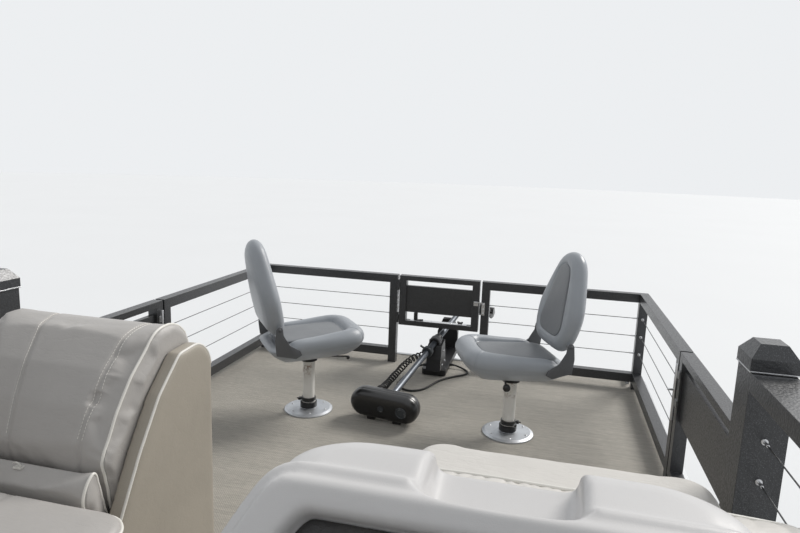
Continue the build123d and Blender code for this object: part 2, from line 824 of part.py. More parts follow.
top_normal = (-0.757, 0.654)
knee_normal = (-0.975, 0.222)
dash_high = shifted(dash_top, (-0.654, -0.757), 44)
cowl_wall = 34.0
hood_corner = 96.0
with BuildPart() as console_cowl:
    with BuildSketch(cross_plane(at(-3040))):
        with Locations((console_middle, up(760))):
            RectangleRounded(console_width + 2 * cowl_wall, 380, hood_corner)
    extrude(amount=-360)
    with BuildSketch(side_plane(console_middle)):
        Polygon([
            (at(-3050), up(930)), (at(-3076), up(950)), (at(-3150), up(940)), (at(-3330), up(700)),
            (at(-3330), up(620)), (at(-3236), up(600)), shifted(dash_foot, knee_normal, soft_gap),
            shifted(dash_knee, top_normal, soft_gap), shifted(dash_top, top_normal, soft_gap),
        ])
    extrude(amount=console_width, both=True, mode=Mode.INTERSECT)
    with BuildSketch(side_plane(console_middle)):
        Polygon([
            (at(-3160), up(1000)), (at(-3132), up(926)), shifted(dash_high, top_normal, -8),
            shifted(dash_knee, top_normal, -8), shifted(dash_foot, knee_normal, -8),
            (at(-3400), up(640)), (at(-3400), up(1000)),
        ])
    extrude(amount=console_width / 2 - 20, both=True, mode=Mode.SUBTRACT)
save(console_cowl, "console_cowl")

# Steering wheel on a tilted column
with BuildPart() as steering_wheel:
    with BuildSketch(Plane(wheel_plane.origin, x_dir=(0, 1, 0), z_dir=(math.cos(tilt), 0, math.sin(tilt)))):
        with Locations((wheel_radius, 0)):
            Circle(wheel_rim)
    revolve(axis=Axis(wheel_plane.origin, column_dir))
    with BuildSketch(wheel_plane.offset(-10)):
        Circle(38)
        with PolarLocations(0, 3, start_angle=-90):
            with Locations((wheel_radius / 2, 0)):
                Rectangle(wheel_radius, 26)
    extrude(amount=12)
    with BuildSketch(wheel_plane.offset(-34)):
        Circle(30)
    extrude(amount=40)
    with BuildSketch(wheel_plane.offset(-104)):
        Circle(column_radius)
    extrude(amount=90)
save(steering_wheel, "steering_wheel")

with BuildPart() as console_dash:
    with BuildSketch(side_plane(console_middle)):
        Polygon([
            shifted(dash_high, top_normal, soft_gap), shifted(dash_knee, top_normal, soft_gap),
            shifted(dash_foot, knee_normal, soft_gap), shifted(dash_foot, knee_normal, dash_thickness),
            shifted(dash_knee, top_normal, dash_thickness), shifted(dash_high, top_normal, dash_thickness),
        ])
    extrude(amount=console_width / 2 - 24, both=True)
    with BuildSketch(wheel_plane.offset(-boss_depth)):
        Circle(boss_radius)
    extrude(amount=boss_depth - 50)
    with BuildSketch(wheel_plane.offset(-108)):
        Circle(column_radius + pin_clearance)
    extrude(amount=60, mode=Mode.SUBTRACT)
save(console_dash, "console_dash")

# Helm chair on its own pedestal
chair_x = -4030.0
chair_y = -600.0
chair_low = 330.0
# columns: height, length, width, shift, corner radius
chair_seat_sections = [
    (chair_low + 0.3, 240, 240, 0, 40),
    (chair_low + 30, 440, 440, 0, 110),
    (chair_low + 70, 520, 520, 6, 140),
    (chair_low + 150, 530, 530, 8, 140),
    (chair_low + 180, 470, 460, 14, 130),
]
chair_back_sections = [
    (chair_low + 180 + rest_gap, 130, 420, -190, 50),
    (chair_low + 300, 130, 500, -206, 50),
    (chair_low + 480, 120, 500, -232, 50),
    (chair_low + 600, 100, 420, -256, 44),
    (chair_low + 660, 60, 300, -270, 28),
]
with BuildPart() as helm_pedestal:
    with BuildSketch(side_plane(chair_y)):
        Polygon([
            (at(chair_x), deck_z),
            (at(chair_x) + 150, deck_z),
            (at(chair_x) + 150, deck_z + 8),
            (at(chair_x) + 60, deck_z + 22),
            (at(chair_x) + 36, deck_z + 60),
            (at(chair_x) + 36, up(chair_low - 40)),
            (at(chair_x) + 60, up(chair_low - 20)),
            (at(chair_x) + 90, up(chair_low)),
            (at(chair_x), up(chair_low)),
        ])
    revolve(axis=Axis((at(chair_x), chair_y, 0), (0, 0, 1)))
save(helm_pedestal, "helm_pedestal")

with BuildPart() as helm_seat:
    rounded_loft(at(chair_x), chair_y, 0, chair_seat_sections)
    for side in (1, -1):
        with BuildSketch(side_plane(chair_y + side * 284)):
            Polygon([
                (at(chair_x) - 190, up(chair_low + 90)), (at(chair_x) - 110, up(chair_low + 90)),
                (at(chair_x) - 60, up(chair_low + 260)), (at(chair_x) + 150, up(chair_low + 270)),
                (at(chair_x) + 150, up(chair_low + 315)), (at(chair_x) - 190, up(chair_low + 300)),
            ])
        extrude(amount=28, both=True)
save(helm_seat, "helm_seat")

with BuildPart() as helm_back:
    rounded_loft(at(chair_x), chair_y, 0, chair_back_sections)
save(helm_back, "helm_back")

# Stern bench across the starboard side of the aft cockpit
stern_bench_front = -4640.0
stern_bench_aft = -5270.0
stern_bench_port = 420.0
stern_bench_width = stern_bench_port - bench_starboard
stern_bench_middle = (stern_bench_port + bench_starboard) / 2
stern_back_front = -5100.0
with BuildPart() as stern_bench_base:
    with BuildSketch(Plane.XY.offset(up(toe_kick))):
        with Locations((at((stern_bench_front - 30 + stern_bench_aft) / 2), stern_bench_middle)):
            Rectangle(stern_bench_front - 30 - stern_bench_aft, stern_bench_width - 20)
    extrude(amount=base_height - toe_kick)
    with BuildSketch(Plane.XY.offset(deck_z)):
        with Locations((at((stern_bench_front - 30 - toe_depth + stern_bench_aft) / 2), stern_bench_middle)):
            Rectangle(stern_bench_front - 30 - toe_depth - stern_bench_aft, stern_bench_width - 20)
    extrude(amount=toe_kick)
save(stern_bench_base, "stern_bench_base")

with BuildPart() as stern_bench_seat:
    with BuildSketch(Plane.XY.offset(up(base_height + soft_gap))):
        with Locations((at((stern_bench_front + stern_back_front) / 2), stern_bench_middle)):
            RectangleRounded(
                stern_bench_front - stern_back_front - 2 * soft_gap, stern_bench_width, cushion_radius,
            )
    extrude(amount=seat_top - base_height)
    fillet(stern_bench_seat.faces().sort_by(Axis.Z)[-1].edges(), 30)
save(stern_bench_seat, "stern_bench_seat")

with BuildPart() as stern_bench_back:
    with BuildSketch(side_plane(stern_bench_middle)):
        with BuildLine():
            Polyline(
                (at(-5150), up(740)), (at(stern_back_front), up(seat_top)),
                (at(stern_back_front), up(base_height + soft_gap)),
                (at(stern_bench_aft), up(base_height + soft_gap)), (at(stern_bench_aft), up(720)),
            )
            ThreePointArc((at(stern_bench_aft), up(720)), (at(-5215), up(775)), (at(-5150), up(740)))
        make_face()
    extrude(amount=stern_bench_width / 2, both=True)
save(stern_bench_back, "stern_bench_back")

# Bow trolling motor, stowed: the head lies on the deck, the shaft runs forward under the bow gate
head_place = (at(-868), 96.0, up(92))
motor_place = (at(500), -92.0, up(296))
shaft_vector = Vector(*motor_place) - Vector(*head_place)
shaft_run = shaft_vector.length
shaft_dir = shaft_vector.normalized()
shaft_across = Vector(0, 1, 0) - shaft_dir * shaft_dir.Y
shaft_across = shaft_across.normalized()
shaft_plane = Plane(origin=head_place, x_dir=shaft_across, z_dir=shaft_dir)
shaft_diameter = 34.0
pod_radius = 46.0
socket_depth = 12.0
pod_half = 170.0


def shaft_spot(x_from_rail):
    """Point of the shaft's centre line at a place along the boat."""
    share = (at(x_from_rail) - head_place[0]) / (motor_place[0] - head_place[0])
    return Vector(*head_place) + shaft_vector * share


with BuildPart() as trolling_shaft:
    with BuildSketch(shaft_plane.offset(40)):
        Circle(shaft_diameter / 2)
    extrude(amount=shaft_run - 40 - pod_radius + socket_depth)
save(trolling_shaft, "trolling_shaft")

# columns: distance behind the shaft's end, length across, height, corner radius
head_sections = [
    (-38, 150, 90, 40), (-20, 250, 124, 58), (20, 350, 150, 70), (62, 372, 156, 74), (84, 330, 130, 60),
]
with BuildPart() as trolling_head:
    for ahead, across, tall, radius in head_sections:
        with BuildSketch(shaft_plane.offset(40 - 38 - ahead)):
            RectangleRounded(across, tall, radius)
    loft(ruled=True)
save(trolling_head, "trolling_head")

pod_plane = Plane(origin=motor_place, x_dir=shaft_dir, z_dir=shaft_across)
with BuildPart() as trolling_pod:
    with BuildSketch(Plane(origin=motor_place, x_dir=shaft_across, z_dir=shaft_dir)):
        Polygon([
            (-pod_half, 0), (-pod_half, 26), (-pod_half + 50, pod_radius - 4), (-pod_half + 90, pod_radius),
            (pod_half - 90, pod_radius), (pod_half - 40, pod_radius - 10), (pod_half, 12), (pod_half, 0),
        ])
    revolve(axis=Axis(motor_place, shaft_across))
    with BuildSketch(pod_plane.offset(-pod_half - 46)):
        Circle(6)
    extrude(amount=50)
    with BuildSketch(shaft_plane.offset(shaft_run - pod_radius - socket_depth)):
        Circle(shaft_diameter / 2)
    extrude(amount=2 * socket_depth, mode=Mode.SUBTRACT)
save(trolling_pod, "trolling_pod")


def blade(plane, turn, stations):
    """One propeller blade. Columns: radius, chord, thickness, pitch angle in degrees."""
    slices = []
    for radius, chord, thickness, pitch in stations:
        angle = math.radians(turn)
        out = plane.x_dir * math.cos(angle) + plane.y_dir * math.sin(angle)
        around = plane.z_dir.cross(out)
        lean = math.radians(pitch)
        chord_dir = around * math.cos(lean) + plane.z_dir * math.sin(lean)
        with BuildSketch(Plane(origin=plane.origin + out * radius, x_dir=chord_dir, z_dir=out)) as slice_:
            with BuildLine():
                ThreePointArc((-chord / 2, 0), (0, thickness / 2), (chord / 2, 0))
                ThreePointArc((chord / 2, 0), (0, -thickness / 2), (-chord / 2, 0))
            make_face()
        slices.append(slice_.sketch.face())
    loft(sections=slices, ruled=True)


troll_prop_radius = 128.0
troll_stations = [(20, 44, 12, 46), (70, 64, 9, 30), (112, 52, 6, 22), (troll_prop_radius, 24, 4, 20)]
prop_origin = Vector(*motor_place) - shaft_across * (pod_half + 26)
troll_prop_plane = Plane(origin=prop_origin, x_dir=shaft_dir, z_dir=shaft_across)
with BuildPart() as trolling_propeller:
    with BuildSketch(troll_prop_plane.offset(-24)):
        Circle(26)
    extrude(amount=46)
    for turn in (40, 220):
        blade(troll_prop_plane, turn, troll_stations)
    with BuildSketch(troll_prop_plane.offset(-22)):
        Circle(6 + pin_clearance)
    extrude(amount=60, mode=Mode.SUBTRACT)
save(trolling_propeller, "trolling_propeller")

mount_spot = shaft_spot(-95)
mount_y = mount_spot.Y
collar_radius = 30.0
collar_length = 80.0
with BuildPart() as trolling_mount:
    with BuildSketch(Plane.XY.offset(up(edge_wall + 0.3))):
        with Locations((at(110), mount_y)):
            RectangleRounded(560, 150, 24)
    extrude(amount=34)
    with BuildSketch(Plane.XY.offset(deck_z)):
        with Locations((at(-10), mount_y)):
            Rectangle(300, 120)
    extrude(amount=edge_wall + 4)
    with BuildSketch(side_plane(mount_y)):
        Polygon([
            (at(-190), up(36)), (at(20), up(36)), (at(-10), up(120)), (at(-40), up(206)),
            (at(-150), up(190)), (at(-176), up(110)),
        ])
    extrude(amount=44, both=True)
    with BuildSketch(Plane(origin=shaft_spot(-140), x_dir=shaft_across, z_dir=shaft_dir)):
        Circle(collar_radius)
    extrude(amount=collar_length)
    with BuildSketch(cross_plane(at(330))):
        Polygon([
            (mount_y - 70, up(34)), (mount_y + 70, up(34)), (mount_y + 70, up(150)),
            (mount_y + 36, up(240)), (mount_y - 36, up(240)), (mount_y - 70, up(150)),
        ])
    extrude(amount=50)
    with BuildSketch(Plane(origin=shaft_spot(-260), x_dir=shaft_across, z_dir=shaft_dir)):
        Circle(shaft_diameter / 2)
    extrude(amount=900, mode=Mode.SUBTRACT)
save(trolling_mount, "trolling_mount")


def cord_tube(points, diameter, arc_share):
    """Tube along straight runs joined by tangent arcs, as large as the runs beside them allow."""
    corners = [Vector(*point) for point in points]
    radii = []
    for before, here, after in zip(corners, corners[1:], corners[2:]):
        turn = math.radians((here - before).get_angle(after - here))
        run = min((here - before).length, (after - here).length)
        radii.append(arc_share * run / math.tan(turn / 2))
    with BuildLine() as path:
        FilletPolyline(*corners, radius=radii)
    start = path.line @ 0
    heading = path.line % 0
    with BuildSketch(Plane(origin=start, z_dir=heading)) as section:
        Circle(diameter / 2)
    sweep(sections=section.sketch, path=path.line)


arc_share = 0.45
coil_diameter = 34.0
coil_points = [
    (at(-821.6), 142.1, up(98.9)), (at(-763), 134, up(108)), (at(-696), 130, up(76)),
    (at(-620), 122, up(68)), (at(-532), 112, up(84)), (at(-452), 104, up(103)), (at(-384), 98, up(119)),
    (at(-325), 84, up(122)), (at(-280), 48, up(108)), (at(-241.3), 10, up(91.6)),
    (at(-182.3), 10, up(80.4)),
]
with BuildPart() as trolling_coil_cord:
    cord_tube(coil_points, coil_diameter, arc_share)
save(trolling_coil_cord, "trolling_coil_cord")

power_diameter = 12.0
deck_rest = power_diameter / 2 + 0.5
power_points = [
    (at(-150), mount_y + 44, up(60)), (at(-150), mount_y + 76, up(60)), (at(-162), 98, up(40)),
    (at(-184), 124, up(17)), (at(-228), 146, up(deck_rest)),
    (at(-305), 160, up(deck_rest)), (at(-388), 158, up(deck_rest)), (at(-452), 128, up(deck_rest)),
    (at(-478), 66, up(deck_rest)), (at(-442), 8, up(deck_rest)), (at(-372), -26, up(deck_rest)),
    (at(-292), -48, up(deck_rest)), (at(-222), -84, up(deck_rest)), (at(-158), -136, up(deck_rest)),
    (at(-108), -196, up(deck_rest)), (at(-52), -216, up(deck_rest)), (at(-6), -186, up(deck_rest)),
    (at(12), -146, up(15)), (at(16), mount_y - 102, up(22)), (at(16), mount_y - 75.3, up(22)),
]
with BuildPart() as trolling_power_cord:
    cord_tube(power_points, power_diameter, arc_share)
save(trolling_power_cord, "trolling_power_cord")

# Outboard motor: clamp brackets on the transom, swivel bracket that tilts, motor that steers
tilt_x = transom_x + 12
tilt_z = transom_top + 46
steer_x = transom_x - steer_behind_transom
cheek_inner = 84.0
cheek = 16.0
tilt_pin = 15.0
with BuildPart() as outboard_clamp:
    for side in (1, -1):
        with BuildSketch(side_plane(side * (cheek_inner + cheek / 2))):
            Polygon([
                (transom_x + transom_plate + 30, transom_top - 100),
                (transom_x + transom_plate + rest_gap, transom_top - 100),
                (transom_x + transom_plate + rest_gap, transom_top + rest_gap),
                (transom_x - rest_gap, transom_top + rest_gap),
                (transom_x - rest_gap, transom_top - 300), (transom_x - 46, transom_top - 300),
                (transom_x - 66, transom_top - 120), (transom_x - 40, transom_top + 74),
                (transom_x + 40, transom_top + 78), (transom_x + transom_plate + 30, transom_top + 20),
            ])
        extrude(amount=cheek / 2, both=True)
    with BuildSketch(side_plane(0)):
        with Locations((tilt_x, tilt_z)):
            Circle(tilt_pin)
    extrude(amount=cheek_inner + cheek + 8, both=True)
save(outboard_clamp, "outboard_clamp")

swivel_half = cheek_inner - 5
pivot_tube = 44.0
king_pin = 20.0
swivel_top = transom_top + 40
swivel_low = transom_top - 250
with BuildPart() as outboard_swivel:
    with BuildSketch(side_plane(0)):
        with Locations((tilt_x, tilt_z)):
            Circle(27)
    extrude(amount=swivel_half, both=True)
    with BuildSketch(Plane.XY.offset(swivel_low)):
        with Locations((steer_x, 0)):
            Circle(pivot_tube)
    extrude(amount=swivel_top - swivel_low)
    with BuildSketch(side_plane(0)):
        Polygon([
            (tilt_x, tilt_z + 24), (steer_x + 60, swivel_top), (steer_x, swivel_top),
            (steer_x, swivel_low), (steer_x + 52, swivel_low + 20), (transom_x - 72, transom_top - 120),
            (transom_x - 46, transom_top + 20), (tilt_x, tilt_z - 26),
        ])
    extrude(amount=34, both=True)
    with BuildSketch(Plane.XY.offset(swivel_low - 10)):
        with Locations((steer_x, 0)):
            Circle(king_pin + pin_clearance)
    extrude(amount=swivel_top - swivel_low + 90, mode=Mode.SUBTRACT)
    with BuildSketch(side_plane(0)):
        with Locations((tilt_x, tilt_z)):
            Circle(tilt_pin + pin_clearance)
    extrude(amount=swivel_half + 20, both=True, mode=Mode.SUBTRACT)
save(outboard_swivel, "outboard_swivel")

leg_x = steer_x - leg_behind_steer
cowl_x = steer_x - cowl_behind_steer
plate_top = transom_top + 96
gear_radius = 52.0
shaft_z = cavitation_z - shaft_below_plate
gear_front = steer_x + 60
gear_aft = leg_x - gear_behind_leg
skeg_low = 22.0
# columns: z, length, width, x, corner radius
leg_sections = [
    (plate_top, 330, 230, leg_x + 20, 100),
    (swivel_top + 5, 300, 210, leg_x + 15, 90),
    (swivel_top + 1, 200, 180, leg_x - 10, 80),
    (transom_top - 240, 180, 120, leg_x, 50),
    (cavitation_z + 10, 230, 80, leg_x - 10, 38),
    (shaft_z + 14, 210, 50, leg_x, 24),
]
with BuildPart() as outboard_leg:
    for z, length, width, x, radius in leg_sections:
        with BuildSketch(Plane.XY.offset(z)):
            with Locations((x, 0)):
                RectangleRounded(length, width, radius)
    loft(ruled=True)
    for z, depth in ((swivel_top + 5, 36), (swivel_low - 5 - 30, 30)):
        with BuildSketch(Plane.XY.offset(z)):
            with Locations((steer_x - 70, 0)):
                Rectangle(150, 90)
            with Locations((steer_x, 0)):
                Circle(45)
        extrude(amount=depth)
    with BuildSketch(Plane.XY.offset(swivel_low - 20)):
        with Locations((steer_x, 0)):
            Circle(king_pin)
    extrude(amount=swivel_top - swivel_low + 40)
    with BuildSketch(Plane.XY.offset(cavitation_z)):
        Polygon([
            (leg_x + 110, 0), (leg_x + 90, 60), (leg_x - 120, 100), (leg_x - 250, 88),
            (leg_x - 250, -88), (leg_x - 120, -100), (leg_x + 90, -60),
        ])
    extrude(amount=9)
    with BuildSketch(Plane.XY.offset(shaft_z)):
        with BuildLine():
            Polyline(
                (gear_aft, 0), (gear_aft, 36), (leg_x - 60, gear_radius), (gear_front - 130, gear_radius),
            )
            ThreePointArc((gear_front - 130, gear_radius), (gear_front - 36, 34), (gear_front, 0))
            Line((gear_front, 0), (gear_aft, 0))
        make_face()
    revolve(axis=Axis((0, 0, shaft_z), (1, 0, 0)))
    with BuildSketch(side_plane(0)):
        Polygon([
            (leg_x + 60, shaft_z - 16), (leg_x - 150, shaft_z - 16),
            (leg_x - 160, skeg_low), (leg_x - 90, skeg_low),
        ])
    extrude(amount=7, both=True)
    with BuildSketch(cross_plane(gear_aft + 10)):
        with Locations((0, shaft_z)):
            Circle(9)
    extrude(amount=-84)
save(outboard_leg, "outboard_leg")

# columns: height above the motor plate, length, width, corner radius
cowl_sections = [
    (0, 520, 300, 110), (50, 590, 350, 130), (300, 600, 350, 130), (400, 560, 320, 120),
    (470, 420, 220, 90),
]
cowl_shell = 8.0
with BuildPart() as outboard_cowl:
    for height, length, width, radius in cowl_sections:
        with BuildSketch(Plane.XY.offset(plate_top + 0.3 + height)):
            with Locations((cowl_x - (300 - length / 2) * 0.3, 0)):
                RectangleRounded(length, width, radius)
    loft(ruled=True)
    for height, length, width, radius in cowl_sections:
        lowered = height - (cowl_shell if height > 400 else 0)
        with BuildSketch(Plane.XY.offset(plate_top + 0.3 + max(lowered, 0))):
            with Locations((cowl_x - (300 - length / 2) * 0.3, 0)):
                RectangleRounded(length - 2 * cowl_shell, width - 2 * cowl_shell, radius - cowl_shell)
    loft(ruled=True, mode=Mode.SUBTRACT)
    with BuildSketch(Plane.XY.offset(plate_top + 0.3)):
        with Locations((cowl_x - (300 - 260) * 0.3, 0)):
            RectangleRounded(519, 299, 109)
    extrude(amount=cowl_shell)
save(outboard_cowl, "outboard_cowl")

with BuildPart() as outboard_engine:
    with BuildSketch(Plane.XY.offset(plate_top + 0.3 + cowl_shell + 0.2)):
        with Locations((cowl_x, 0)):
            Rectangle(360, 220)
    extrude(amount=320)
save(outboard_engine, "outboard_engine")

prop_x = gear_aft - hub_ahead
prop_stations = [(24, 60, 12, 52), (64, 92, 9, 34), (104, 92, 6, 26), (propeller_radius, 40, 4, 24)]
prop_plane = Plane(origin=(prop_x, 0, shaft_z), x_dir=(0, 0, 1), z_dir=(-1, 0, 0))
with BuildPart() as outboard_propeller:
    with BuildSketch(prop_plane.offset(-36)):
        Circle(34)
    with BuildSketch(prop_plane.offset(hub_behind)):
        Circle(28)
    loft()
    for turn in (0, 120, 240):
        blade(prop_plane, turn, prop_stations)
    with BuildSketch(prop_plane.offset(-40)):
        Circle(9 + pin_clearance)
    extrude(amount=76, mode=Mode.SUBTRACT)
save(outboard_propeller, "outboard_propeller")

# Boarding ladder, folded up on the swim deck at the port side
ladder_y = 830.0
ladder_width = 380.0
ladder_tube = 28.0
ladder_length = 560.0
ladder_pivot_x = deck_stern - 26
ladder_pivot_z = up(30)
ladder_rungs = 3
with BuildPart() as ladder_bracket:
    for side in (1, -1):
        with BuildSketch(side_plane(ladder_y + side * (ladder_width / 2 + ladder_tube / 2 + 9))):
            Polygon([
                (deck_stern + 90, deck_z + edge_wall + 0.3), (deck_stern + 90, deck_z + edge_wall + 8),
                (deck_stern - 8, ladder_pivot_z + 20), (ladder_pivot_x - 16, ladder_pivot_z + 16),
                (ladder_pivot_x - 16, ladder_pivot_z - 16), (deck_stern - 2, deck_z + edge_wall + 0.3),
            ])
        extrude(amount=5, both=True)
    with BuildSketch(side_plane(ladder_y)):
        with Locations((ladder_pivot_x, ladder_pivot_z)):
            Circle(7)
    extrude(amount=ladder_width / 2 + ladder_tube / 2 + 14, both=True)
save(ladder_bracket, "ladder_bracket")

with BuildPart() as ladder:
    with BuildSketch(side_plane(ladder_y)):
        with Locations((ladder_pivot_x, ladder_pivot_z)):
            Circle(ladder_tube / 2)
    extrude(amount=ladder_width / 2 + ladder_tube / 2, both=True)
    for side in (1, -1):
        with BuildSketch(cross_plane(ladder_pivot_x)):
            with Locations((ladder_y + side * ladder_width / 2, ladder_pivot_z)):
                Circle(ladder_tube / 2)
        extrude(amount=ladder_length)
    for index in range(ladder_rungs):
        rung_x = ladder_pivot_x + ladder_length - index * 240 - ladder_tube / 2
        with BuildSketch(side_plane(ladder_y)):
            with Locations((rung_x, ladder_pivot_z)):
                SlotOverall(60, ladder_tube)
        extrude(amount=ladder_width / 2, both=True)
    with BuildSketch(side_plane(ladder_y)):
        with Locations((ladder_pivot_x, ladder_pivot_z)):
            Circle(7 + pin_clearance)
    extrude(amount=ladder_width, both=True, mode=Mode.SUBTRACT)
save(ladder, "ladder")

# Mooring cleats on the deck's edge, two at the bow and two at the stern
cleat_x = [at(130), deck_stern + 220]
cleat_y = 1180.0
with BuildPart() as cleats:
    for x in cleat_x:
        for side in (1, -1):
            with BuildSketch(side_plane(side * cleat_y)):
                Polygon([
                    (x - 62, deck_z + 34), (x - 62, deck_z + 44), (x + 62, deck_z + 44), (x + 62, deck_z + 34),
                    (x + 28, deck_z + 28), (x + 36, deck_z), (x + 14, deck_z), (x + 9, deck_z + 24),
                    (x - 9, deck_z + 24), (x - 14, deck_z), (x - 36, deck_z), (x - 28, deck_z + 28),
                ])
            extrude(amount=11, both=True)
save(cleats, "cleats")
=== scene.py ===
"""Pontoon boat: finishes, soft goods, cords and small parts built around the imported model."""

import math
import random

import bmesh
import bpy
from mathutils import Matrix, Vector


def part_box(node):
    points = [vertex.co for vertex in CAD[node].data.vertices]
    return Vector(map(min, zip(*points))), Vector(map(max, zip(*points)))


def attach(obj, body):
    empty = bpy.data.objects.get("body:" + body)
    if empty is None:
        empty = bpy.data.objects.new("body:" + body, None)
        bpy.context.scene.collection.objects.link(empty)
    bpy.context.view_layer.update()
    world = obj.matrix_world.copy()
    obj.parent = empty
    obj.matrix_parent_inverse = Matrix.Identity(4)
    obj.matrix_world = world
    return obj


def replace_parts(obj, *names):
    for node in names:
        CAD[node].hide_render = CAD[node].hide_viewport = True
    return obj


bl_info = {
    "name": "Pontoon boat",
    "version": (1, 0, 0),
    "blender": (4, 5, 0),
    "location": "View3D > Sidebar > Pontoon boat",
    "description": "Dresses the pontoon boat with its finishes, cushions, cords and fittings",
    "category": "Object",
}

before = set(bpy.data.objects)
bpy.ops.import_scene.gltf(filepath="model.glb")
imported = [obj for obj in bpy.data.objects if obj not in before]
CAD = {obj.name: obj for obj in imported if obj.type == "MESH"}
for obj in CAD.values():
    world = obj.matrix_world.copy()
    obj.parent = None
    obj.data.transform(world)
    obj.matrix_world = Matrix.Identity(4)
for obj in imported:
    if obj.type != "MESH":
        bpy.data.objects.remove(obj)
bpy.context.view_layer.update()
RAIL_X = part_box("fence_bow_starboard")[0].x
DECK_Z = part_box("deck")[1].z
WATERLINE = 0.22
SOILING = 0.35


def at(from_rail):
    """x of a place given from the bow rail's inner face, positive forward, in metres."""
    return RAIL_X + from_rail


def up(above_deck):
    """z of a height above the deck, in metres."""
    return DECK_Z + above_deck


def tone(red, green, blue):
    """Scene-linear colour of a 0 to 255 display colour."""
    shares = [value / 255 for value in (red, green, blue)]
    linear = [share / 12.92 if share <= 0.04045 else ((share + 0.055) / 1.055) ** 2.4 for share in shares]
    return (*linear, 1.0)


# Sizes and colours that a user would change

def colour_property(label, words, value):
    return bpy.props.FloatVectorProperty(
        name=label, description=words, default=value, size=4, subtype="COLOR", min=0, max=1,
    )


def length_property(label, words, value):
    return bpy.props.FloatProperty(name=label, description=words, default=value, min=0, unit="LENGTH")


class PontoonColours(bpy.types.PropertyGroup):
    """Colours of the finishes."""

    deck: colour_property("Deck", "Woven deck covering", tone(186, 181, 171))
    lounge: colour_property("Lounge vinyl", "Port lounge and helm chair", tone(176, 173, 170))
    bench: colour_property("Bench vinyl", "Starboard and stern benches", tone(214, 211, 206))
    seat: colour_property("Seat vinyl", "Skin of the fishing seats", tone(158, 163, 169))
    seat_inset: colour_property("Seat insets", "Centre panels of the fishing seats", tone(120, 123, 127))
    rail: colour_property("Rails", "Hammered coat of rails, posts and gates", tone(60, 61, 63))
    console: colour_property("Console", "Moulded console and cowl", tone(206, 205, 205))
    base: colour_property("Furniture bases", "Moulded furniture bases", tone(190, 186, 180))
    aluminium: colour_property("Aluminium", "Tubes, trim and ladder", tone(205, 207, 209))
    floor: colour_property("Floor", "Studio floor", tone(236, 238, 240))


class PontoonSizes(bpy.types.PropertyGroup):
    """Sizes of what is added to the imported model."""

    weave: length_property("Weave pitch", "Distance between the deck's threads", 0.005)
    grain: length_property("Vinyl grain", "Size of one grain cell of the vinyl", 0.0022)
    piping: length_property("Piping", "Diameter of the cushions' piping", 0.008)
    coil_wire: length_property("Coil wire", "Diameter of the curly cord's wire", 0.009)
    coil_outer: length_property("Coil outer diameter", "Outer diameter of the curly cord", 0.045)
    coil_pitch: length_property("Coil pitch", "Distance between the curly cord's turns", 0.0275)
    power_wire: length_property("Power cord", "Diameter of the power cord", 0.012)


def colours():
    return bpy.context.scene.pontoon_colours


def sizes():
    return bpy.context.scene.pontoon_sizes


# Node building

def place(tree, kind, inputs=None, **settings):
    """Add a node, set its settings, and give each named input a value or a link."""
    node = tree.nodes.new(kind)
    for key, value in settings.items():
        setattr(node, key, value)
    for key, value in (inputs or {}).items():
        if isinstance(value, bpy.types.NodeSocket):
            tree.links.new(value, node.inputs[key])
        else:
            node.inputs[key].default_value = value
    return node


def maths(tree, operation, first, second=0.0, third=None, clamp=False):
    inputs = {0: first, 1: second}
    if third is not None:
        inputs[2] = third
    return place(tree, "ShaderNodeMath", inputs, operation=operation, use_clamp=clamp).outputs[0]


def blend_colour(tree, share, first, second):
    inputs = {0: share, 6: first, 7: second}
    return place(tree, "ShaderNodeMix", inputs, data_type="RGBA").outputs[2]


def spread(tree, value, low, high, new_low=0.0, new_high=1.0):
    inputs = {"Value": value, "From Min": low, "From Max": high, "To Min": new_low, "To Max": new_high}
    return place(tree, "ShaderNodeMapRange", inputs).outputs[0]


def noise(tree, vector, scale, detail=3.0, rough=0.5):
    inputs = {"Vector": vector, "Scale": scale, "Detail": detail, "Roughness": rough}
    return place(tree, "ShaderNodeTexNoise", inputs).outputs[0]


def stretched(tree, vector, scale):
    return place(tree, "ShaderNodeMapping", {"Vector": vector, "Scale": scale}).outputs[0]


def object_place(tree):
    return place(tree, "ShaderNodeTexCoord").outputs["Object"]


def height_in(tree, vector):
    return place(tree, "ShaderNodeSeparateXYZ", {"Vector": vector}).outputs["Z"]


def cells(tree, vector, size, **settings):
    """Distance to the middle of the nearest cell of a given size."""
    inputs = {"Vector": vector, "Scale": maths(tree, "DIVIDE", 1.0, size)}
    return place(tree, "ShaderNodeTexVoronoi", inputs, **settings).outputs["Distance"]


def new_group(name, inputs):
    """A shader node group with named inputs, and the sockets of its input node."""
    group = bpy.data.node_groups.new(name, "ShaderNodeTree")
    for label, value in inputs.items():
        kind = "NodeSocketVector" if isinstance(value, tuple) else "NodeSocketFloat"
        group.interface.new_socket(label, in_out="INPUT", socket_type=kind).default_value = value
    return group, group.nodes.new("NodeGroupInput").outputs


def close_group(group, values):
    """Give a group one output for each named value."""
    for label in values:
        group.interface.new_socket(label, in_out="OUTPUT", socket_type="NodeSocketFloat")
    end = group.nodes.new("NodeGroupOutput")
    for label, value in values.items():
        group.links.new(value, end.inputs[label])
    return group


def built_once(make):
    """Build a node group on its first use and return the same one afterwards."""
    def get():
        name = make.__name__
        return bpy.data.node_groups.get(name) or make(name)
    return get


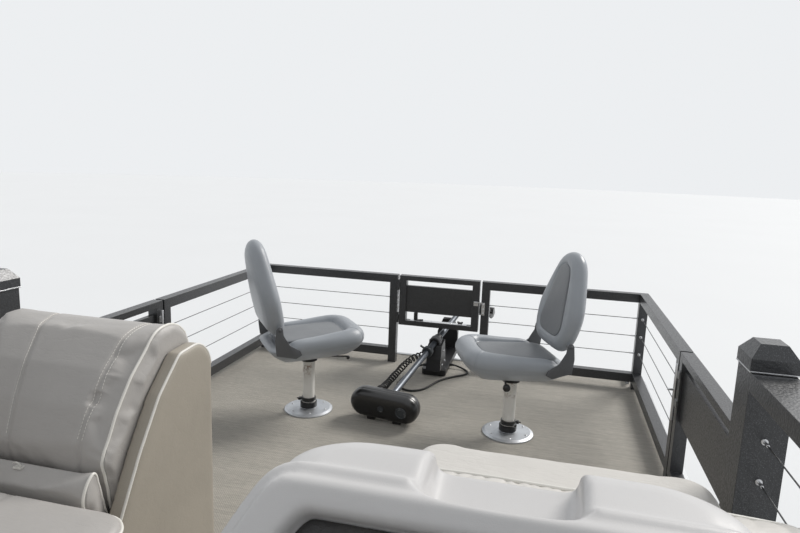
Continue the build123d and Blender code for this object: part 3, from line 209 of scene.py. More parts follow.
@built_once
def vinyl_skin(name):
    """Fine grain, long creases and a slow change of tone for coated vinyl."""
    group, given = new_group(name, {"Grain size": 0.002, "Crease": 0.5, "Soiling": 0.3})
    here = object_place(group)
    grain = cells(group, here, given["Grain size"])
    creases = noise(group, stretched(group, here, (1.0, 0.35, 1.0)), 26.0, 4.0, 0.55)
    folds = spread(group, maths(group, "ABSOLUTE", maths(group, "SUBTRACT", creases, 0.5)), 0.0, 0.08)
    crease_height = maths(group, "MULTIPLY", maths(group, "MULTIPLY", folds, given["Crease"]), 0.6)
    height = maths(group, "MULTIPLY_ADD", grain, 0.22, crease_height)
    height = maths(group, "MULTIPLY_ADD", noise(group, here, 7.0, 2.0), 1.6, height)
    blotch = noise(group, here, 3.2, 5.0, 0.6)
    stain = maths(group, "MULTIPLY", spread(group, blotch, 0.42, 0.72), given["Soiling"])
    speck = spread(group, noise(group, here, 60.0, 2.0), 0.66, 0.8, 0.0, 0.35)
    specks = maths(group, "MULTIPLY", speck, given["Soiling"])
    return close_group(group, {
        "Height": height,
        "Tone": maths(group, "ADD", stain, specks, clamp=True),
        "Gloss change": spread(group, blotch, 0.3, 0.7, -0.06, 0.06),
    })


@built_once
def woven_deck(name):
    """Woven vinyl floor: threads across the boat, broken by the warp, with streaks of tone, and painted shade in the
    dips between the threads.
    """
    group, given = new_group(name, {"Pitch": 0.005})
    here = object_place(group)
    rows = maths(group, "DIVIDE", 1.0, given["Pitch"])
    parts = place(group, "ShaderNodeSeparateXYZ", {"Vector": here}).outputs
    along = maths(group, "MULTIPLY", parts["X"], rows)
    across = maths(group, "MULTIPLY", parts["Y"], maths(group, "MULTIPLY", rows, 0.5))
    shifted = maths(group, "MULTIPLY_ADD", maths(group, "FLOOR", along), 0.5, across)
    weft = maths(group, "SINE", maths(group, "MULTIPLY", along, 2 * math.pi))
    warp = maths(group, "SINE", maths(group, "MULTIPLY", shifted, 2 * math.pi))
    height = maths(group, "MULTIPLY_ADD", warp, 0.45, maths(group, "MULTIPLY", weft, 0.55))
    streak = noise(group, stretched(group, here, (120.0, 5.0, 1.0)), 1.0, 3.0, 0.6)
    fine = noise(group, stretched(group, here, (260.0, 28.0, 1.0)), 1.0, 2.0)
    tones = maths(group, "MULTIPLY_ADD", fine, 0.6, maths(group, "MULTIPLY", streak, 0.6))
    tones = maths(group, "MULTIPLY_ADD", noise(group, here, 1.4, 4.0), 0.5, tones)
    return close_group(group, {
        "Height": height,
        "Tone": spread(group, tones, 0.62, 1.08),
        # painted shade: low between the threads, high on their tops
        "Painted gap shade": spread(group, height, -0.9, 0.3),
    })


@built_once
def hammered_coat(name):
    """Hammered powder coat: small round dents, pale flecks and a fine speckle."""
    group, given = new_group(name, {"Cell size": 0.005})
    here = object_place(group)
    dents = cells(group, here, given["Cell size"], feature="SMOOTH_F1")
    return close_group(group, {
        "Height": dents,
        "Fleck": spread(group, noise(group, here, 420.0, 2.0, 0.7), 0.56, 0.72),
        "Gloss change": spread(group, dents, 0.2, 0.8, -0.08, 0.12),
    })


@built_once
def edge_wear(name):
    """Mask of the worn convex edges, broken up by noise."""
    group, given = new_group(name, {"Reach": 0.004, "Break up": 0.55})
    rounded = place(group, "ShaderNodeBevel", {"Radius": given["Reach"]}, samples=4).outputs[0]
    flat = place(group, "ShaderNodeNewGeometry").outputs["Normal"]
    alike = place(group, "ShaderNodeVectorMath", {0: rounded, 1: flat}, operation="DOT_PRODUCT").outputs["Value"]
    edge = spread(group, alike, 0.995, 0.9)
    worn = noise(group, object_place(group), 22.0, 5.0, 0.65)
    patch = maths(group, "MULTIPLY", maths(group, "SUBTRACT", worn, given["Break up"]), 9.0, clamp=True)
    return close_group(group, {"Mask": maths(group, "MULTIPLY", edge, patch, clamp=True)})


@built_once
def brushed_metal(name):
    """Drawn metal: long scratches, stains and a changing gloss."""
    group, given = new_group(name, {"Stretch": (6.0, 160.0, 160.0), "Stain": 0.4})
    here = object_place(group)
    drawn = place(group, "ShaderNodeVectorMath", {0: here, 1: given["Stretch"]}, operation="MULTIPLY").outputs[0]
    lines = noise(group, drawn, 1.0, 3.0, 0.6)
    blotch = noise(group, here, 5.0, 6.0, 0.65)
    stain = maths(group, "MULTIPLY", spread(group, blotch, 0.45, 0.75), given["Stain"])
    return close_group(group, {
        "Height": lines,
        "Tone": maths(group, "MULTIPLY_ADD", lines, 0.12, stain, clamp=True),
        "Gloss change": maths(group, "MULTIPLY_ADD", lines, 0.16, maths(group, "MULTIPLY", stain, 0.3)),
    })


@built_once
def moulded_skin(name):
    """Moulded plastic: a fine pebble, dust on top and thin scratches."""
    group, given = new_group(name, {"Pebble size": 0.0015, "Dust": 0.3})
    here = object_place(group)
    pebble = cells(group, here, given["Pebble size"])
    scratch = noise(group, stretched(group, here, (9.0, 150.0, 60.0)), 1.0, 4.0, 0.7)
    thin = spread(group, maths(group, "ABSOLUTE", maths(group, "SUBTRACT", scratch, 0.5)), 0.012, 0.0)
    blotch = noise(group, here, 4.0, 6.0, 0.6)
    upward = height_in(group, place(group, "ShaderNodeNewGeometry").outputs["Normal"])
    settled = maths(group, "MULTIPLY", spread(group, upward, 0.2, 1.0), spread(group, blotch, 0.35, 0.7))
    dust = maths(group, "MULTIPLY", settled, given["Dust"])
    return close_group(group, {
        "Height": maths(group, "MULTIPLY_ADD", thin, -0.3, pebble),
        "Tone": maths(group, "MULTIPLY_ADD", thin, 0.06, dust, clamp=True),
        "Gloss change": maths(group, "MULTIPLY_ADD", dust, 0.5, maths(group, "MULTIPLY", thin, 0.1)),
    })


def group_in(tree, group, inputs=None):
    return place(tree, "ShaderNodeGroup", inputs, node_tree=group).outputs


def worn_to(tree, painted, bare, reach, break_up):
    """Paint that is rubbed through to a bare colour along the edges."""
    mask = group_in(tree, edge_wear(), {"Reach": reach, "Break up": break_up})["Mask"]
    return blend_colour(tree, mask, painted, bare)


def scaled(colour, factor):
    """A colour made darker or lighter."""
    return (*[min(1.0, channel * factor) for channel in colour[:3]], 1.0)


def new_material(name):
    """Node tree of a named material, emptied."""
    material = bpy.data.materials.get(name) or bpy.data.materials.new(name)
    material.use_nodes = True
    material.node_tree.nodes.clear()
    return material.node_tree


def close_material(tree, colour, roughness, height, depth, metallic=0.0, sheen=0.0, coat=0.0, corner=0.0):
    """Shader, bump and output. Depth is the bump's height and corner the softened edge, in metres."""
    bump = {"Height": height, "Strength": 1.0, "Distance": depth}
    if corner:
        bump["Normal"] = place(tree, "ShaderNodeBevel", {"Radius": corner}, samples=4).outputs[0]
    shader = place(tree, "ShaderNodeBsdfPrincipled", {
        "Base Color": colour, "Roughness": roughness, "Metallic": metallic,
        "Normal": place(tree, "ShaderNodeBump", bump).outputs[0],
        "Sheen Weight": sheen, "Coat Weight": coat, "Coat Roughness": 0.2,
    })
    place(tree, "ShaderNodeOutputMaterial", {"Surface": shader.outputs[0]})


def vinyl_material(name, colour, roughness=0.46, crease=0.5):
    tree = new_material(name)
    skin = group_in(tree, vinyl_skin(), {"Grain size": sizes().grain, "Crease": crease, "Soiling": SOILING})
    painted = blend_colour(tree, skin["Tone"], tuple(colour), scaled(colour, 0.72))
    gloss = maths(tree, "ADD", skin["Gloss change"], roughness)
    close_material(tree, painted, gloss, skin["Height"], 0.0009, sheen=0.08)


def metal_material(name, colour, roughness, stretch, stain=0.4, metallic=1.0, worn=None):
    tree = new_material(name)
    metal = group_in(tree, brushed_metal(), {"Stretch": stretch, "Stain": stain})
    painted = blend_colour(tree, metal["Tone"], tuple(colour), scaled(colour, 0.55))
    gloss = maths(tree, "ADD", metal["Gloss change"], roughness)
    if worn:
        painted = worn_to(tree, painted, worn, 0.003, 0.5)
    close_material(tree, painted, gloss, metal["Height"], 0.0002, metallic=metallic, corner=0.0015)


def plastic_material(name, colour, roughness, pebble=0.0015, dust=0.3, depth=0.0002, coat=0.0, wear=None):
    tree = new_material(name)
    skin = group_in(tree, moulded_skin(), {"Pebble size": pebble, "Dust": dust})
    dusty = scaled(colour, 0.8) if max(colour[:3]) > 0.3 else tone(120, 116, 110)
    painted = blend_colour(tree, skin["Tone"], tuple(colour), dusty)
    if wear:
        painted = worn_to(tree, painted, wear, 0.004, 0.52)
    gloss = maths(tree, "ADD", skin["Gloss change"], roughness)
    close_material(tree, painted, gloss, skin["Height"], depth, coat=coat, corner=0.002)


def deck_material():
    tree = new_material("deck_vinyl")
    weave = group_in(tree, woven_deck(), {"Pitch": sizes().weave})
    base = tuple(colours().deck)
    painted = blend_colour(tree, weave["Tone"], scaled(base, 0.66), scaled(base, 1.22))
    # painted shade: the dips between the threads are darkened to half the deck colour
    painted = blend_colour(tree, weave["Painted gap shade"], scaled(base, 0.5), painted)
    close_material(tree, painted, 0.72, weave["Height"], 0.0009, sheen=0.1)


def rail_material():
    tree = new_material("rail_coat")
    coat = group_in(tree, hammered_coat(), {"Cell size": 0.006})
    base = tuple(colours().rail)
    painted = blend_colour(tree, coat["Fleck"], base, scaled(base, 3.2))
    painted = worn_to(tree, painted, tone(150, 146, 138), 0.003, 0.6)
    gloss = maths(tree, "ADD", coat["Gloss change"], 0.36)
    close_material(tree, painted, gloss, coat["Height"], 0.0006, metallic=0.35, coat=0.15, corner=0.003)


def post_material():
    """White tube between black collars on a silver plate, with rust below the upper collar."""
    tree = new_material("seat_post")
    here = object_place(tree)
    height = height_in(tree, here)
    plate_top, collar_top, upper_collar = up(0.0165), up(0.046), up(0.267)
    on_plate = maths(tree, "LESS_THAN", height, plate_top)
    low_collar = maths(tree, "MULTIPLY", maths(tree, "GREATER_THAN", height, plate_top),
                       maths(tree, "LESS_THAN", height, collar_top))
    collars = maths(tree, "ADD", low_collar, maths(tree, "GREATER_THAN", height, upper_collar), clamp=True)
    metal = group_in(tree, brushed_metal(), {"Stretch": (60.0, 60.0, 6.0), "Stain": 0.5})
    near_top = spread(tree, height, up(0.17), up(0.262))
    patches = spread(tree, noise(tree, here, 34.0, 6.0, 0.7), 0.52, 0.6)
    rust = maths(tree, "MULTIPLY", near_top, patches)
    white = blend_colour(tree, metal["Tone"], tone(234, 232, 227), tone(186, 182, 174))
    white = blend_colour(tree, rust, white, tone(116, 74, 46))
    silver = blend_colour(tree, metal["Tone"], tone(200, 203, 207), tone(130, 132, 135))
    painted = blend_colour(tree, on_plate, white, silver)
    painted = blend_colour(tree, collars, painted, tone(24, 24, 25))
    gloss = maths(tree, "MULTIPLY_ADD", metal["Gloss change"], 1.0, 0.34)
    close_material(tree, painted, gloss, metal["Height"], 0.0002,
                   metallic=maths(tree, "MULTIPLY", on_plate, 0.95), corner=0.002)


def tube_material():
    """Brushed aluminium that is stained below the waterline."""
    tree = new_material("tube_aluminium")
    here = object_place(tree)
    height = height_in(tree, here)
    metal = group_in(tree, brushed_metal(), {"Stretch": (4.0, 120.0, 120.0), "Stain": 0.5})
    base = tuple(colours().aluminium)
    painted = blend_colour(tree, metal["Tone"], base, scaled(base, 0.6))
    ragged = maths(tree, "MULTIPLY_ADD", noise(tree, here, 5.0, 5.0), 0.06, height)
    below = spread(tree, ragged, WATERLINE + 0.06, WATERLINE + 0.01)
    painted = blend_colour(tree, below, painted, tone(128, 124, 104))
    gloss = maths(tree, "ADD", metal["Gloss change"], 0.32)
    close_material(tree, painted, gloss, metal["Height"], 0.0003, metallic=0.9, corner=0.003)


def make_materials():
    shade = colours()
    deck_material()
    rail_material()
    post_material()
    tube_material()
    silver = tuple(shade.aluminium)
    along, upright = (6.0, 160.0, 160.0), (120.0, 120.0, 5.0)
    metal_material("frame_aluminium", scaled(silver, 0.85), 0.42, along)
    metal_material("trim_aluminium", scaled(silver, 0.9), 0.36, along, worn=tone(225, 225, 225))
    metal_material("silver_shaft", tone(100, 104, 110), 0.34, along, stain=0.4)
    metal_material("ladder_metal", silver, 0.2, along, stain=0.15)
    metal_material("cleat_metal", tone(222, 224, 226), 0.14, along, stain=0.1)
    metal_material("engine_metal", tone(120, 120, 122), 0.5, upright)
    metal_material("bright_steel", tone(214, 215, 217), 0.22, upright, stain=0.2)
    metal_material("motor_coat", tone(62, 66, 70), 0.3, upright, stain=0.2, metallic=0.2, worn=tone(150, 150, 150))
    metal_material("black_coat", tone(30, 30, 32), 0.34, along, stain=0.2, metallic=0.1, worn=tone(120, 120, 120))
    vinyl_material("grey_vinyl", shade.lounge, crease=0.45)
    vinyl_material("panel_vinyl", tone(166, 159, 147), crease=0.3)
    vinyl_material("pale_vinyl", shade.bench, crease=0.8)
    vinyl_material("seat_vinyl", shade.seat, roughness=0.38, crease=0.2)
    vinyl_material("inset_vinyl", shade.seat_inset, roughness=0.42, crease=0.2)
    vinyl_material("piping_vinyl", tone(232, 230, 224), roughness=0.4, crease=0.0)
    plastic_material("shell_plastic", tone(104, 98, 92), 0.44, depth=0.0002)
    plastic_material("bracket_coat", tone(92, 94, 97), 0.4, depth=0.0002)
    plastic_material("base_plastic", tuple(shade.base), 0.5, pebble=0.003, depth=0.0005)
    plastic_material("console_plastic", tuple(shade.console), 0.34, depth=0.00008, coat=0.2)
    plastic_material("cowl_plastic", tuple(shade.console), 0.34, depth=0.00008, coat=0.2)
    plastic_material("dash_plastic", tone(30, 31, 34), 0.42, pebble=0.002, depth=0.0004)
    plastic_material("black_plastic", tone(16, 16, 18), 0.28, depth=0.0001, coat=0.3, dust=0.06,
                     wear=tone(84, 84, 86))
    plastic_material("wheel_rubber", tone(26, 26, 27), 0.55, pebble=0.002, depth=0.0004)
    plastic_material("cord_rubber", tone(18, 18, 19), 0.5, dust=0.15)
    plastic_material("white_plastic", tone(226, 224, 218), 0.35, depth=0.0001)
    plastic_material("tag_plastic", tone(150, 150, 148), 0.5, depth=0.0001)


def linked(name, data):
    """A new object in the scene."""
    obj = bpy.data.objects.new(name, data)
    bpy.context.scene.collection.objects.link(obj)
    return obj


# Modelling helpers

MERGE = 1e-5


def select_only(*objects):
    bpy.ops.object.select_all(action="DESELECT")
    for obj in objects:
        obj.select_set(True)
    bpy.context.view_layer.objects.active = objects[0]


def settle(obj, name):
    """Name a piece and put its place into its mesh."""
    select_only(obj)
    bpy.ops.object.transform_apply(location=True, rotation=True, scale=True)
    obj.name = name
    obj.data.name = name
    return obj


def apply(obj, kind, **settings):
    """Add a modifier, set it and apply it."""
    select_only(obj)
    modifier = obj.modifiers.new(kind.title(), kind)
    for key, value in settings.items():
        setattr(modifier, key, value)
    bpy.ops.object.modifier_apply(modifier=modifier.name)
    return obj


def joined(name, pieces):
    select_only(*pieces)
    if len(pieces) > 1:
        bpy.ops.object.join()
    return settle(bpy.context.view_layer.objects.active, name)


def smooth(obj, angle=35.0):
    select_only(obj)
    bpy.ops.object.shade_smooth_by_angle(angle=math.radians(angle))
    return obj


def turned(direction):
    """Rotation that takes +Z to a direction."""
    return Vector(direction).to_track_quat("Z", "Y").to_euler()


def face_outwards(obj, merge=0.0):
    """Merge points closer than a distance and turn every face outwards."""
    select_only(obj)
    bpy.ops.object.mode_set(mode="EDIT")
    bpy.ops.mesh.select_all(action="SELECT")
    if merge:
        bpy.ops.mesh.remove_doubles(threshold=merge)
    bpy.ops.mesh.normals_make_consistent(inside=False)
    bpy.ops.object.mode_set(mode="OBJECT")


def rounded(obj, edge):
    return apply(obj, "BEVEL", width=edge, segments=2, limit_method="ANGLE")


def block(name, low, high, edge=0.0015):
    """Rectangular piece with rounded edges."""
    low, high = Vector(low), Vector(high)
    bpy.ops.object.select_all(action="DESELECT")
    bpy.ops.mesh.primitive_cube_add(size=1, location=(low + high) / 2)
    obj = bpy.context.active_object
    obj.scale = high - low
    return rounded(settle(obj, name), edge)


def rod(name, start, end, radius, sides=20, edge=0.001):
    """Round bar from one point to another, its rims rounded."""
    start, end = Vector(start), Vector(end)
    bpy.ops.object.select_all(action="DESELECT")
    bpy.ops.mesh.primitive_cylinder_add(
        vertices=sides, radius=radius, depth=(end - start).length, location=(start + end) / 2,
        rotation=turned(end - start),
    )
    return smooth(rounded(settle(bpy.context.active_object, name), edge))


def from_faces(name, points, faces, edges=()):
    mesh = bpy.data.meshes.new(name)
    mesh.from_pydata([tuple(point) for point in points], list(edges), list(faces))
    return linked(name, mesh)


def turned_round(name, profile, origin=(0, 0, 0), axis=(0, 0, 1), steps=40):
    """Turn a profile of (radius, height) pairs about an axis through the origin."""
    points = [(radius, 0, height) for radius, height in profile]
    obj = from_faces(name, points, [], [(index, index + 1) for index in range(len(points) - 1)])
    select_only(obj)
    bpy.ops.object.mode_set(mode="EDIT")
    bpy.ops.mesh.select_all(action="SELECT")
    bpy.ops.mesh.spin(steps=steps, angle=2 * math.pi, center=(0, 0, 0), axis=(0, 0, 1))
    bpy.ops.object.mode_set(mode="OBJECT")
    face_outwards(obj, MERGE)
    obj.location = origin
    obj.rotation_euler = turned(axis)
    return smooth(settle(obj, name))


def plate(name, outline, plane, thickness, edge):
    """Flat piece: an outline of (x, y) pairs in a plane matrix, centred on its thickness."""
    obj = from_faces(name, [(x, y, 0) for x, y in outline], [range(len(outline))])
    apply(obj, "SOLIDIFY", thickness=thickness, offset=0)
    face_outwards(obj)
    rounded(obj, edge)
    obj.matrix_world = plane
    return smooth(settle(obj, name))


def nurbs(name, points, radius, resolution, closed=False):
    """Round cord along one NURBS spline, as a curve."""
    curve = bpy.data.curves.new(name, "CURVE")
    curve.dimensions = "3D"
    spline = curve.splines.new("NURBS")
    spline.points.add(len(points) - 1)
    for point, spot in zip(spline.points, points):
        point.co = (*spot, 1)
    spline.order_u = 3
    spline.use_cyclic_u = closed
    spline.use_endpoint_u = not closed
    curve.bevel_depth = radius
    curve.bevel_resolution = 3
    curve.resolution_u = resolution
    curve.use_fill_caps = not closed
    return linked(name, curve)


def wire(name, points, radius, closed=False):
    """Smooth round wire through a few control points, as a mesh."""
    select_only(nurbs(name, points, radius, 4, closed))
    bpy.ops.object.convert(target="MESH")
    return smooth(settle(bpy.context.view_layer.objects.active, name), 60)


def finish(obj, material, body):
    """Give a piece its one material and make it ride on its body."""
    obj.data.materials.clear()
    obj.data.materials.append(bpy.data.materials[material])
    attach(obj, body)
    return obj


def frame_at(origin, x_axis, y_axis):
    """Matrix of a plane from its origin and two axes."""
    x_axis, y_axis = Vector(x_axis).normalized(), Vector(y_axis).normalized()
    z_axis = x_axis.cross(y_axis)
    matrix = Matrix((x_axis, y_axis, z_axis)).transposed().to_4x4()
    matrix.translation = origin
    return matrix


# Soft goods

PRESSURE = 4.0
CLOTH_FRAMES = 20


def node_copy(name, node):
    """Merged copy of a CAD mesh."""
    obj = linked(name, CAD[node].data.copy())
    select_only(obj)
    bpy.ops.object.mode_set(mode="EDIT")
    bpy.ops.mesh.select_all(action="SELECT")
    bpy.ops.mesh.remove_doubles(threshold=MERGE)
    bpy.ops.object.mode_set(mode="OBJECT")
    return obj


def remeshed(obj, voxel):
    select_only(obj)
    obj.data.remesh_voxel_size = voxel
    obj.data.remesh_voxel_adaptivity = 0
    bpy.ops.object.voxel_remesh()


def softened(obj):
    select_only(obj)
    bpy.ops.object.shade_smooth()
    return obj


def finer(obj):
    return apply(obj, "SUBSURF", levels=1, render_levels=1)


def swell(obj, cap):
    """Blow the pad up with Cloth under pressure, keeping each point within cap of its start."""
    start = [vertex.co.copy() for vertex in obj.data.vertices]
    select_only(obj)
    cloth = obj.modifiers.new("Cloth", "CLOTH")
    cloth.settings.quality = 4
    cloth.settings.mass = 0.3
    cloth.settings.tension_stiffness = 12
    cloth.settings.compression_stiffness = 12
    cloth.settings.shear_stiffness = 5
    cloth.settings.bending_stiffness = 0.5
    cloth.settings.use_pressure = True
    cloth.settings.uniform_pressure_force = PRESSURE
    cloth.settings.effector_weights.gravity = 0
    cloth.collision_settings.use_collision = False
    cloth.collision_settings.use_self_collision = False
    for step in range(1, CLOTH_FRAMES + 1):
        bpy.context.scene.frame_set(step)
    bpy.ops.object.modifier_apply(modifier=cloth.name)
    bpy.context.scene.frame_set(1)
    for vertex, before in zip(obj.data.vertices, start):
        move = vertex.co - before
        if move.length > cap:
            vertex.co = before + move * (cap / move.length)


def hold_in(obj, node):
    """Keep a pad inside its CAD solid's box, so that it lies flat on what carries it."""
    low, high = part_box(node)
    for vertex in obj.data.vertices:
        for axis in range(3):
            vertex.co[axis] = min(max(vertex.co[axis], low[axis]), high[axis])


def pad(name, node, voxel, cap, shrink, fine=True):
    """A padded piece: a shrunk, remeshed copy of its CAD solid, swollen and subdivided."""
    obj = node_copy(name, node)
    remeshed(obj, voxel)
    apply(obj, "SMOOTH", factor=0.5, iterations=4)
    apply(obj, "DISPLACE", strength=-shrink, mid_level=0.0)
    swell(obj, cap)
    hold_in(obj, node)
    if fine:
        finer(obj)
    return softened(obj)


def groove(obj, distance, width, depth, lies=None):
    """Press a seam into a pad where the distance function is near zero."""
    moves = []
    for vertex in obj.data.vertices:
        away = abs(distance(vertex.co))
        if away < width and (lies is None or lies(vertex.co, vertex.normal)):
            share = 1 - away / width
            moves.append((vertex, vertex.normal * (-depth * share * share)))
    for vertex, move in moves:
        vertex.co += move


class Piece:
    """What the operators share: registered and undoable."""

    bl_options = {"REGISTER", "UNDO"}


# Camera

CAMERA_SPOT = (-0.6315, -0.631, 2.0734)
CAMERA_YAW = 0.2390
CAMERA_PITCH = 0.1702
CAMERA_ROLL = -0.0350
CAMERA_LENS = 27.0
SENSOR = 36.0


def make_camera():
    """The camera stands behind the helm and looks forward over the console."""
    data = bpy.data.cameras.new("camera")
    data.lens = CAMERA_LENS
    data.sensor_width = SENSOR
    data.clip_end = 200.0
    camera = linked("camera", data)
    yaw, pitch = CAMERA_YAW, CAMERA_PITCH
    forward = Vector((math.cos(yaw) * math.cos(pitch), math.sin(yaw) * math.cos(pitch), -math.sin(pitch)))
    right = Vector((math.sin(yaw), -math.cos(yaw), 0))
    down = forward.cross(right)
    rolled_right = right * math.cos(CAMERA_ROLL) + down * math.sin(CAMERA_ROLL)
    rolled_down = down * math.cos(CAMERA_ROLL) - right * math.sin(CAMERA_ROLL)
    turn = Matrix((rolled_right, -rolled_down, -forward)).transposed().to_4x4()
    turn.translation = CAMERA_SPOT
    camera.matrix_world = turn
    bpy.context.scene.camera = camera


# Cords of the bow motor

COIL_ROUTE = [
    (at(-0.8216), 0.1600, up(0.1000)), (at(-0.755), 0.170, up(0.108)), (at(-0.690), 0.172, up(0.090)),
    (at(-0.614), 0.170, up(0.082)), (at(-0.520), 0.160, up(0.090)), (at(-0.429), 0.148, up(0.100)),
    (at(-0.365), 0.136, up(0.112)), (at(-0.310), 0.120, up(0.124)), (at(-0.262), 0.092, up(0.138)),
    (at(-0.220), 0.050, up(0.148)), (at(-0.1750), 0.018, up(0.148)),
]
MOUNT_Y = (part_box("trolling_mount")[0].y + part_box("trolling_mount")[1].y) / 2
CORD_REST = up(0.0065)
POWER_ROUTE = [
    (at(-0.150), MOUNT_Y + 0.044, up(0.060)), (at(-0.150), MOUNT_Y + 0.076, up(0.060)),
    (at(-0.162), 0.098, up(0.040)), (at(-0.184), 0.124, up(0.017)), (at(-0.228), 0.146, CORD_REST),
    (at(-0.305), 0.160, CORD_REST), (at(-0.388), 0.158, CORD_REST), (at(-0.452), 0.128, CORD_REST),
    (at(-0.478), 0.066, CORD_REST), (at(-0.442), 0.008, CORD_REST), (at(-0.372), -0.026, CORD_REST),
    (at(-0.292), -0.048, CORD_REST), (at(-0.222), -0.084, CORD_REST), (at(-0.158), -0.136, CORD_REST),
    (at(-0.108), -0.196, CORD_REST), (at(-0.052), -0.216, CORD_REST), (at(-0.006), -0.186, CORD_REST),
    (at(0.012), -0.146, up(0.015)), (at(0.016), MOUNT_Y - 0.102, up(0.022)),
    (at(0.016), MOUNT_Y - 0.0753, up(0.022)),
]
POINTS_PER_TURN = 12
CORD_RESOLUTION = 6
RELIEF_LENGTH = 0.024
RELIEF_RIBS = 4
COIL_LEAD = 0.03


def route_line(points):
    """Points along a route's own NURBS spline."""
    curve = nurbs("route", points, 0.0, CORD_RESOLUTION)
    mesh = bpy.data.meshes.new_from_object(curve)
    line = [vertex.co.copy() for vertex in mesh.vertices]
    bpy.data.meshes.remove(mesh)
    bpy.data.curves.remove(curve.data)
    return line


def length_of(line):
    return sum((second - first).length for first, second in zip(line, line[1:]))


def along_line(line, distance):
    """Point and heading at a distance along a line."""
    for first, second in zip(line, line[1:]):
        step = (second - first).length
        if distance <= step:
            return first.lerp(second, distance / step), (second - first).normalized()
        distance -= step
    return line[-1].copy(), (line[-1] - line[-2]).normalized()


def curl_points(route, outer, wire_diameter, pitch):
    """Control points of a curly cord's turns, wound round a route."""
    line = route_line(route)
    total = length_of(line)
    turns = (total - 2 * COIL_LEAD) / pitch
    count = round(turns * POINTS_PER_TURN)
    radius = (outer - wire_diameter) / 2
    side = Vector((0, 0, 1))
    points = [line[0].copy(), along_line(line, COIL_LEAD / 2)[0]]
    for index in range(count + 1):
        share = index / count
        spot, heading = along_line(line, COIL_LEAD + share * (total - 2 * COIL_LEAD))
        side = (side - heading * side.dot(heading)).normalized()
        other = heading.cross(side)
        angle = 2 * math.pi * turns * share
        ramp = min(1.0, index / POINTS_PER_TURN, (count - index) / POINTS_PER_TURN)
        reach = radius * ramp * (0.94 + 0.06 * math.sin(share * 31.0))
        points.append(spot + (side * math.cos(angle) + other * math.sin(angle)) * reach)
    points += [along_line(line, total - COIL_LEAD / 2)[0], line[-1].copy()]
    return points


def relief(name, start, toward, root, tip):
    """Ribbed, tapered strain relief from a start point along a cord."""
    direction = (Vector(toward) - Vector(start)).normalized()
    length = RELIEF_LENGTH
    profile = [(0.0, 0.0), (root, 0.0)]
    for index in range(RELIEF_RIBS):
        low, high, gap = [(index + share) / RELIEF_RIBS for share in (0, 0.55, 0.95)]
        at_low, at_high = root + (tip - root) * low, root + (tip - root) * high
        profile += [(at_low, length * low + 0.0008), (at_high, length * high)]
        profile += [(at_high * 0.86, length * high + 0.0006), (at_high * 0.84, length * gap)]
    profile += [(tip, length), (0.0, length)]
    return turned_round(name, profile, start, direction, 24)


class PONTOON_OT_cords(Piece, bpy.types.Operator):
    """Curly cord and power cord of the bow motor, with their strain reliefs"""

    bl_idname = "pontoon.cords"
    bl_label = "Cords"

    def execute(self, context):
        size = sizes()
        ends = [
            ("coil_relief_head", COIL_ROUTE[0], COIL_ROUTE[1], size.coil_wire),
            ("coil_relief_mount", COIL_ROUTE[-1], COIL_ROUTE[-2], size.coil_wire),
            ("power_relief_side", POWER_ROUTE[0], POWER_ROUTE[1], size.power_wire),
            ("power_relief_foot", POWER_ROUTE[-1], POWER_ROUTE[-2], size.power_wire),
        ]
        for name, start, toward, thick in ends:
            piece = relief(name, start, toward, thick * 0.95, thick * 0.62)
            finish(piece, "cord_rubber", "boat")
        turns = curl_points(COIL_ROUTE, size.coil_outer, size.coil_wire, size.coil_pitch)
        coil = nurbs("coil_cord", turns, size.coil_wire / 2, 2)
        coil.data.bevel_resolution = 2
        finish(coil, "cord_rubber", "boat")
        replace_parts(coil, "trolling_coil_cord")
        power = nurbs("power_cord", POWER_ROUTE, size.power_wire / 2, CORD_RESOLUTION)
        finish(power, "cord_rubber", "boat")
        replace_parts(power, "trolling_power_cord")
        return {"FINISHED"}


class PONTOON_OT_finishes(Piece, bpy.types.Operator):
    """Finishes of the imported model's own pieces"""

    bl_idname = "pontoon.finishes"
    bl_label = "Finishes"

    def execute(self, context):
        make_materials()
        for node in CAD.values():
            for entry in node.material_slots:
                name = entry.material.name.split(".")[0]
                entry.link = "OBJECT"
                entry.material = bpy.data.materials[name]
        return {"FINISHED"}


KEY_FROM = (0.62, -0.5, 0.62)
KEY_STRENGTH = 2.4
KEY_SPREAD = 22.0
SKY_LIGHT = 0.55
SKY_SEEN = 0.33


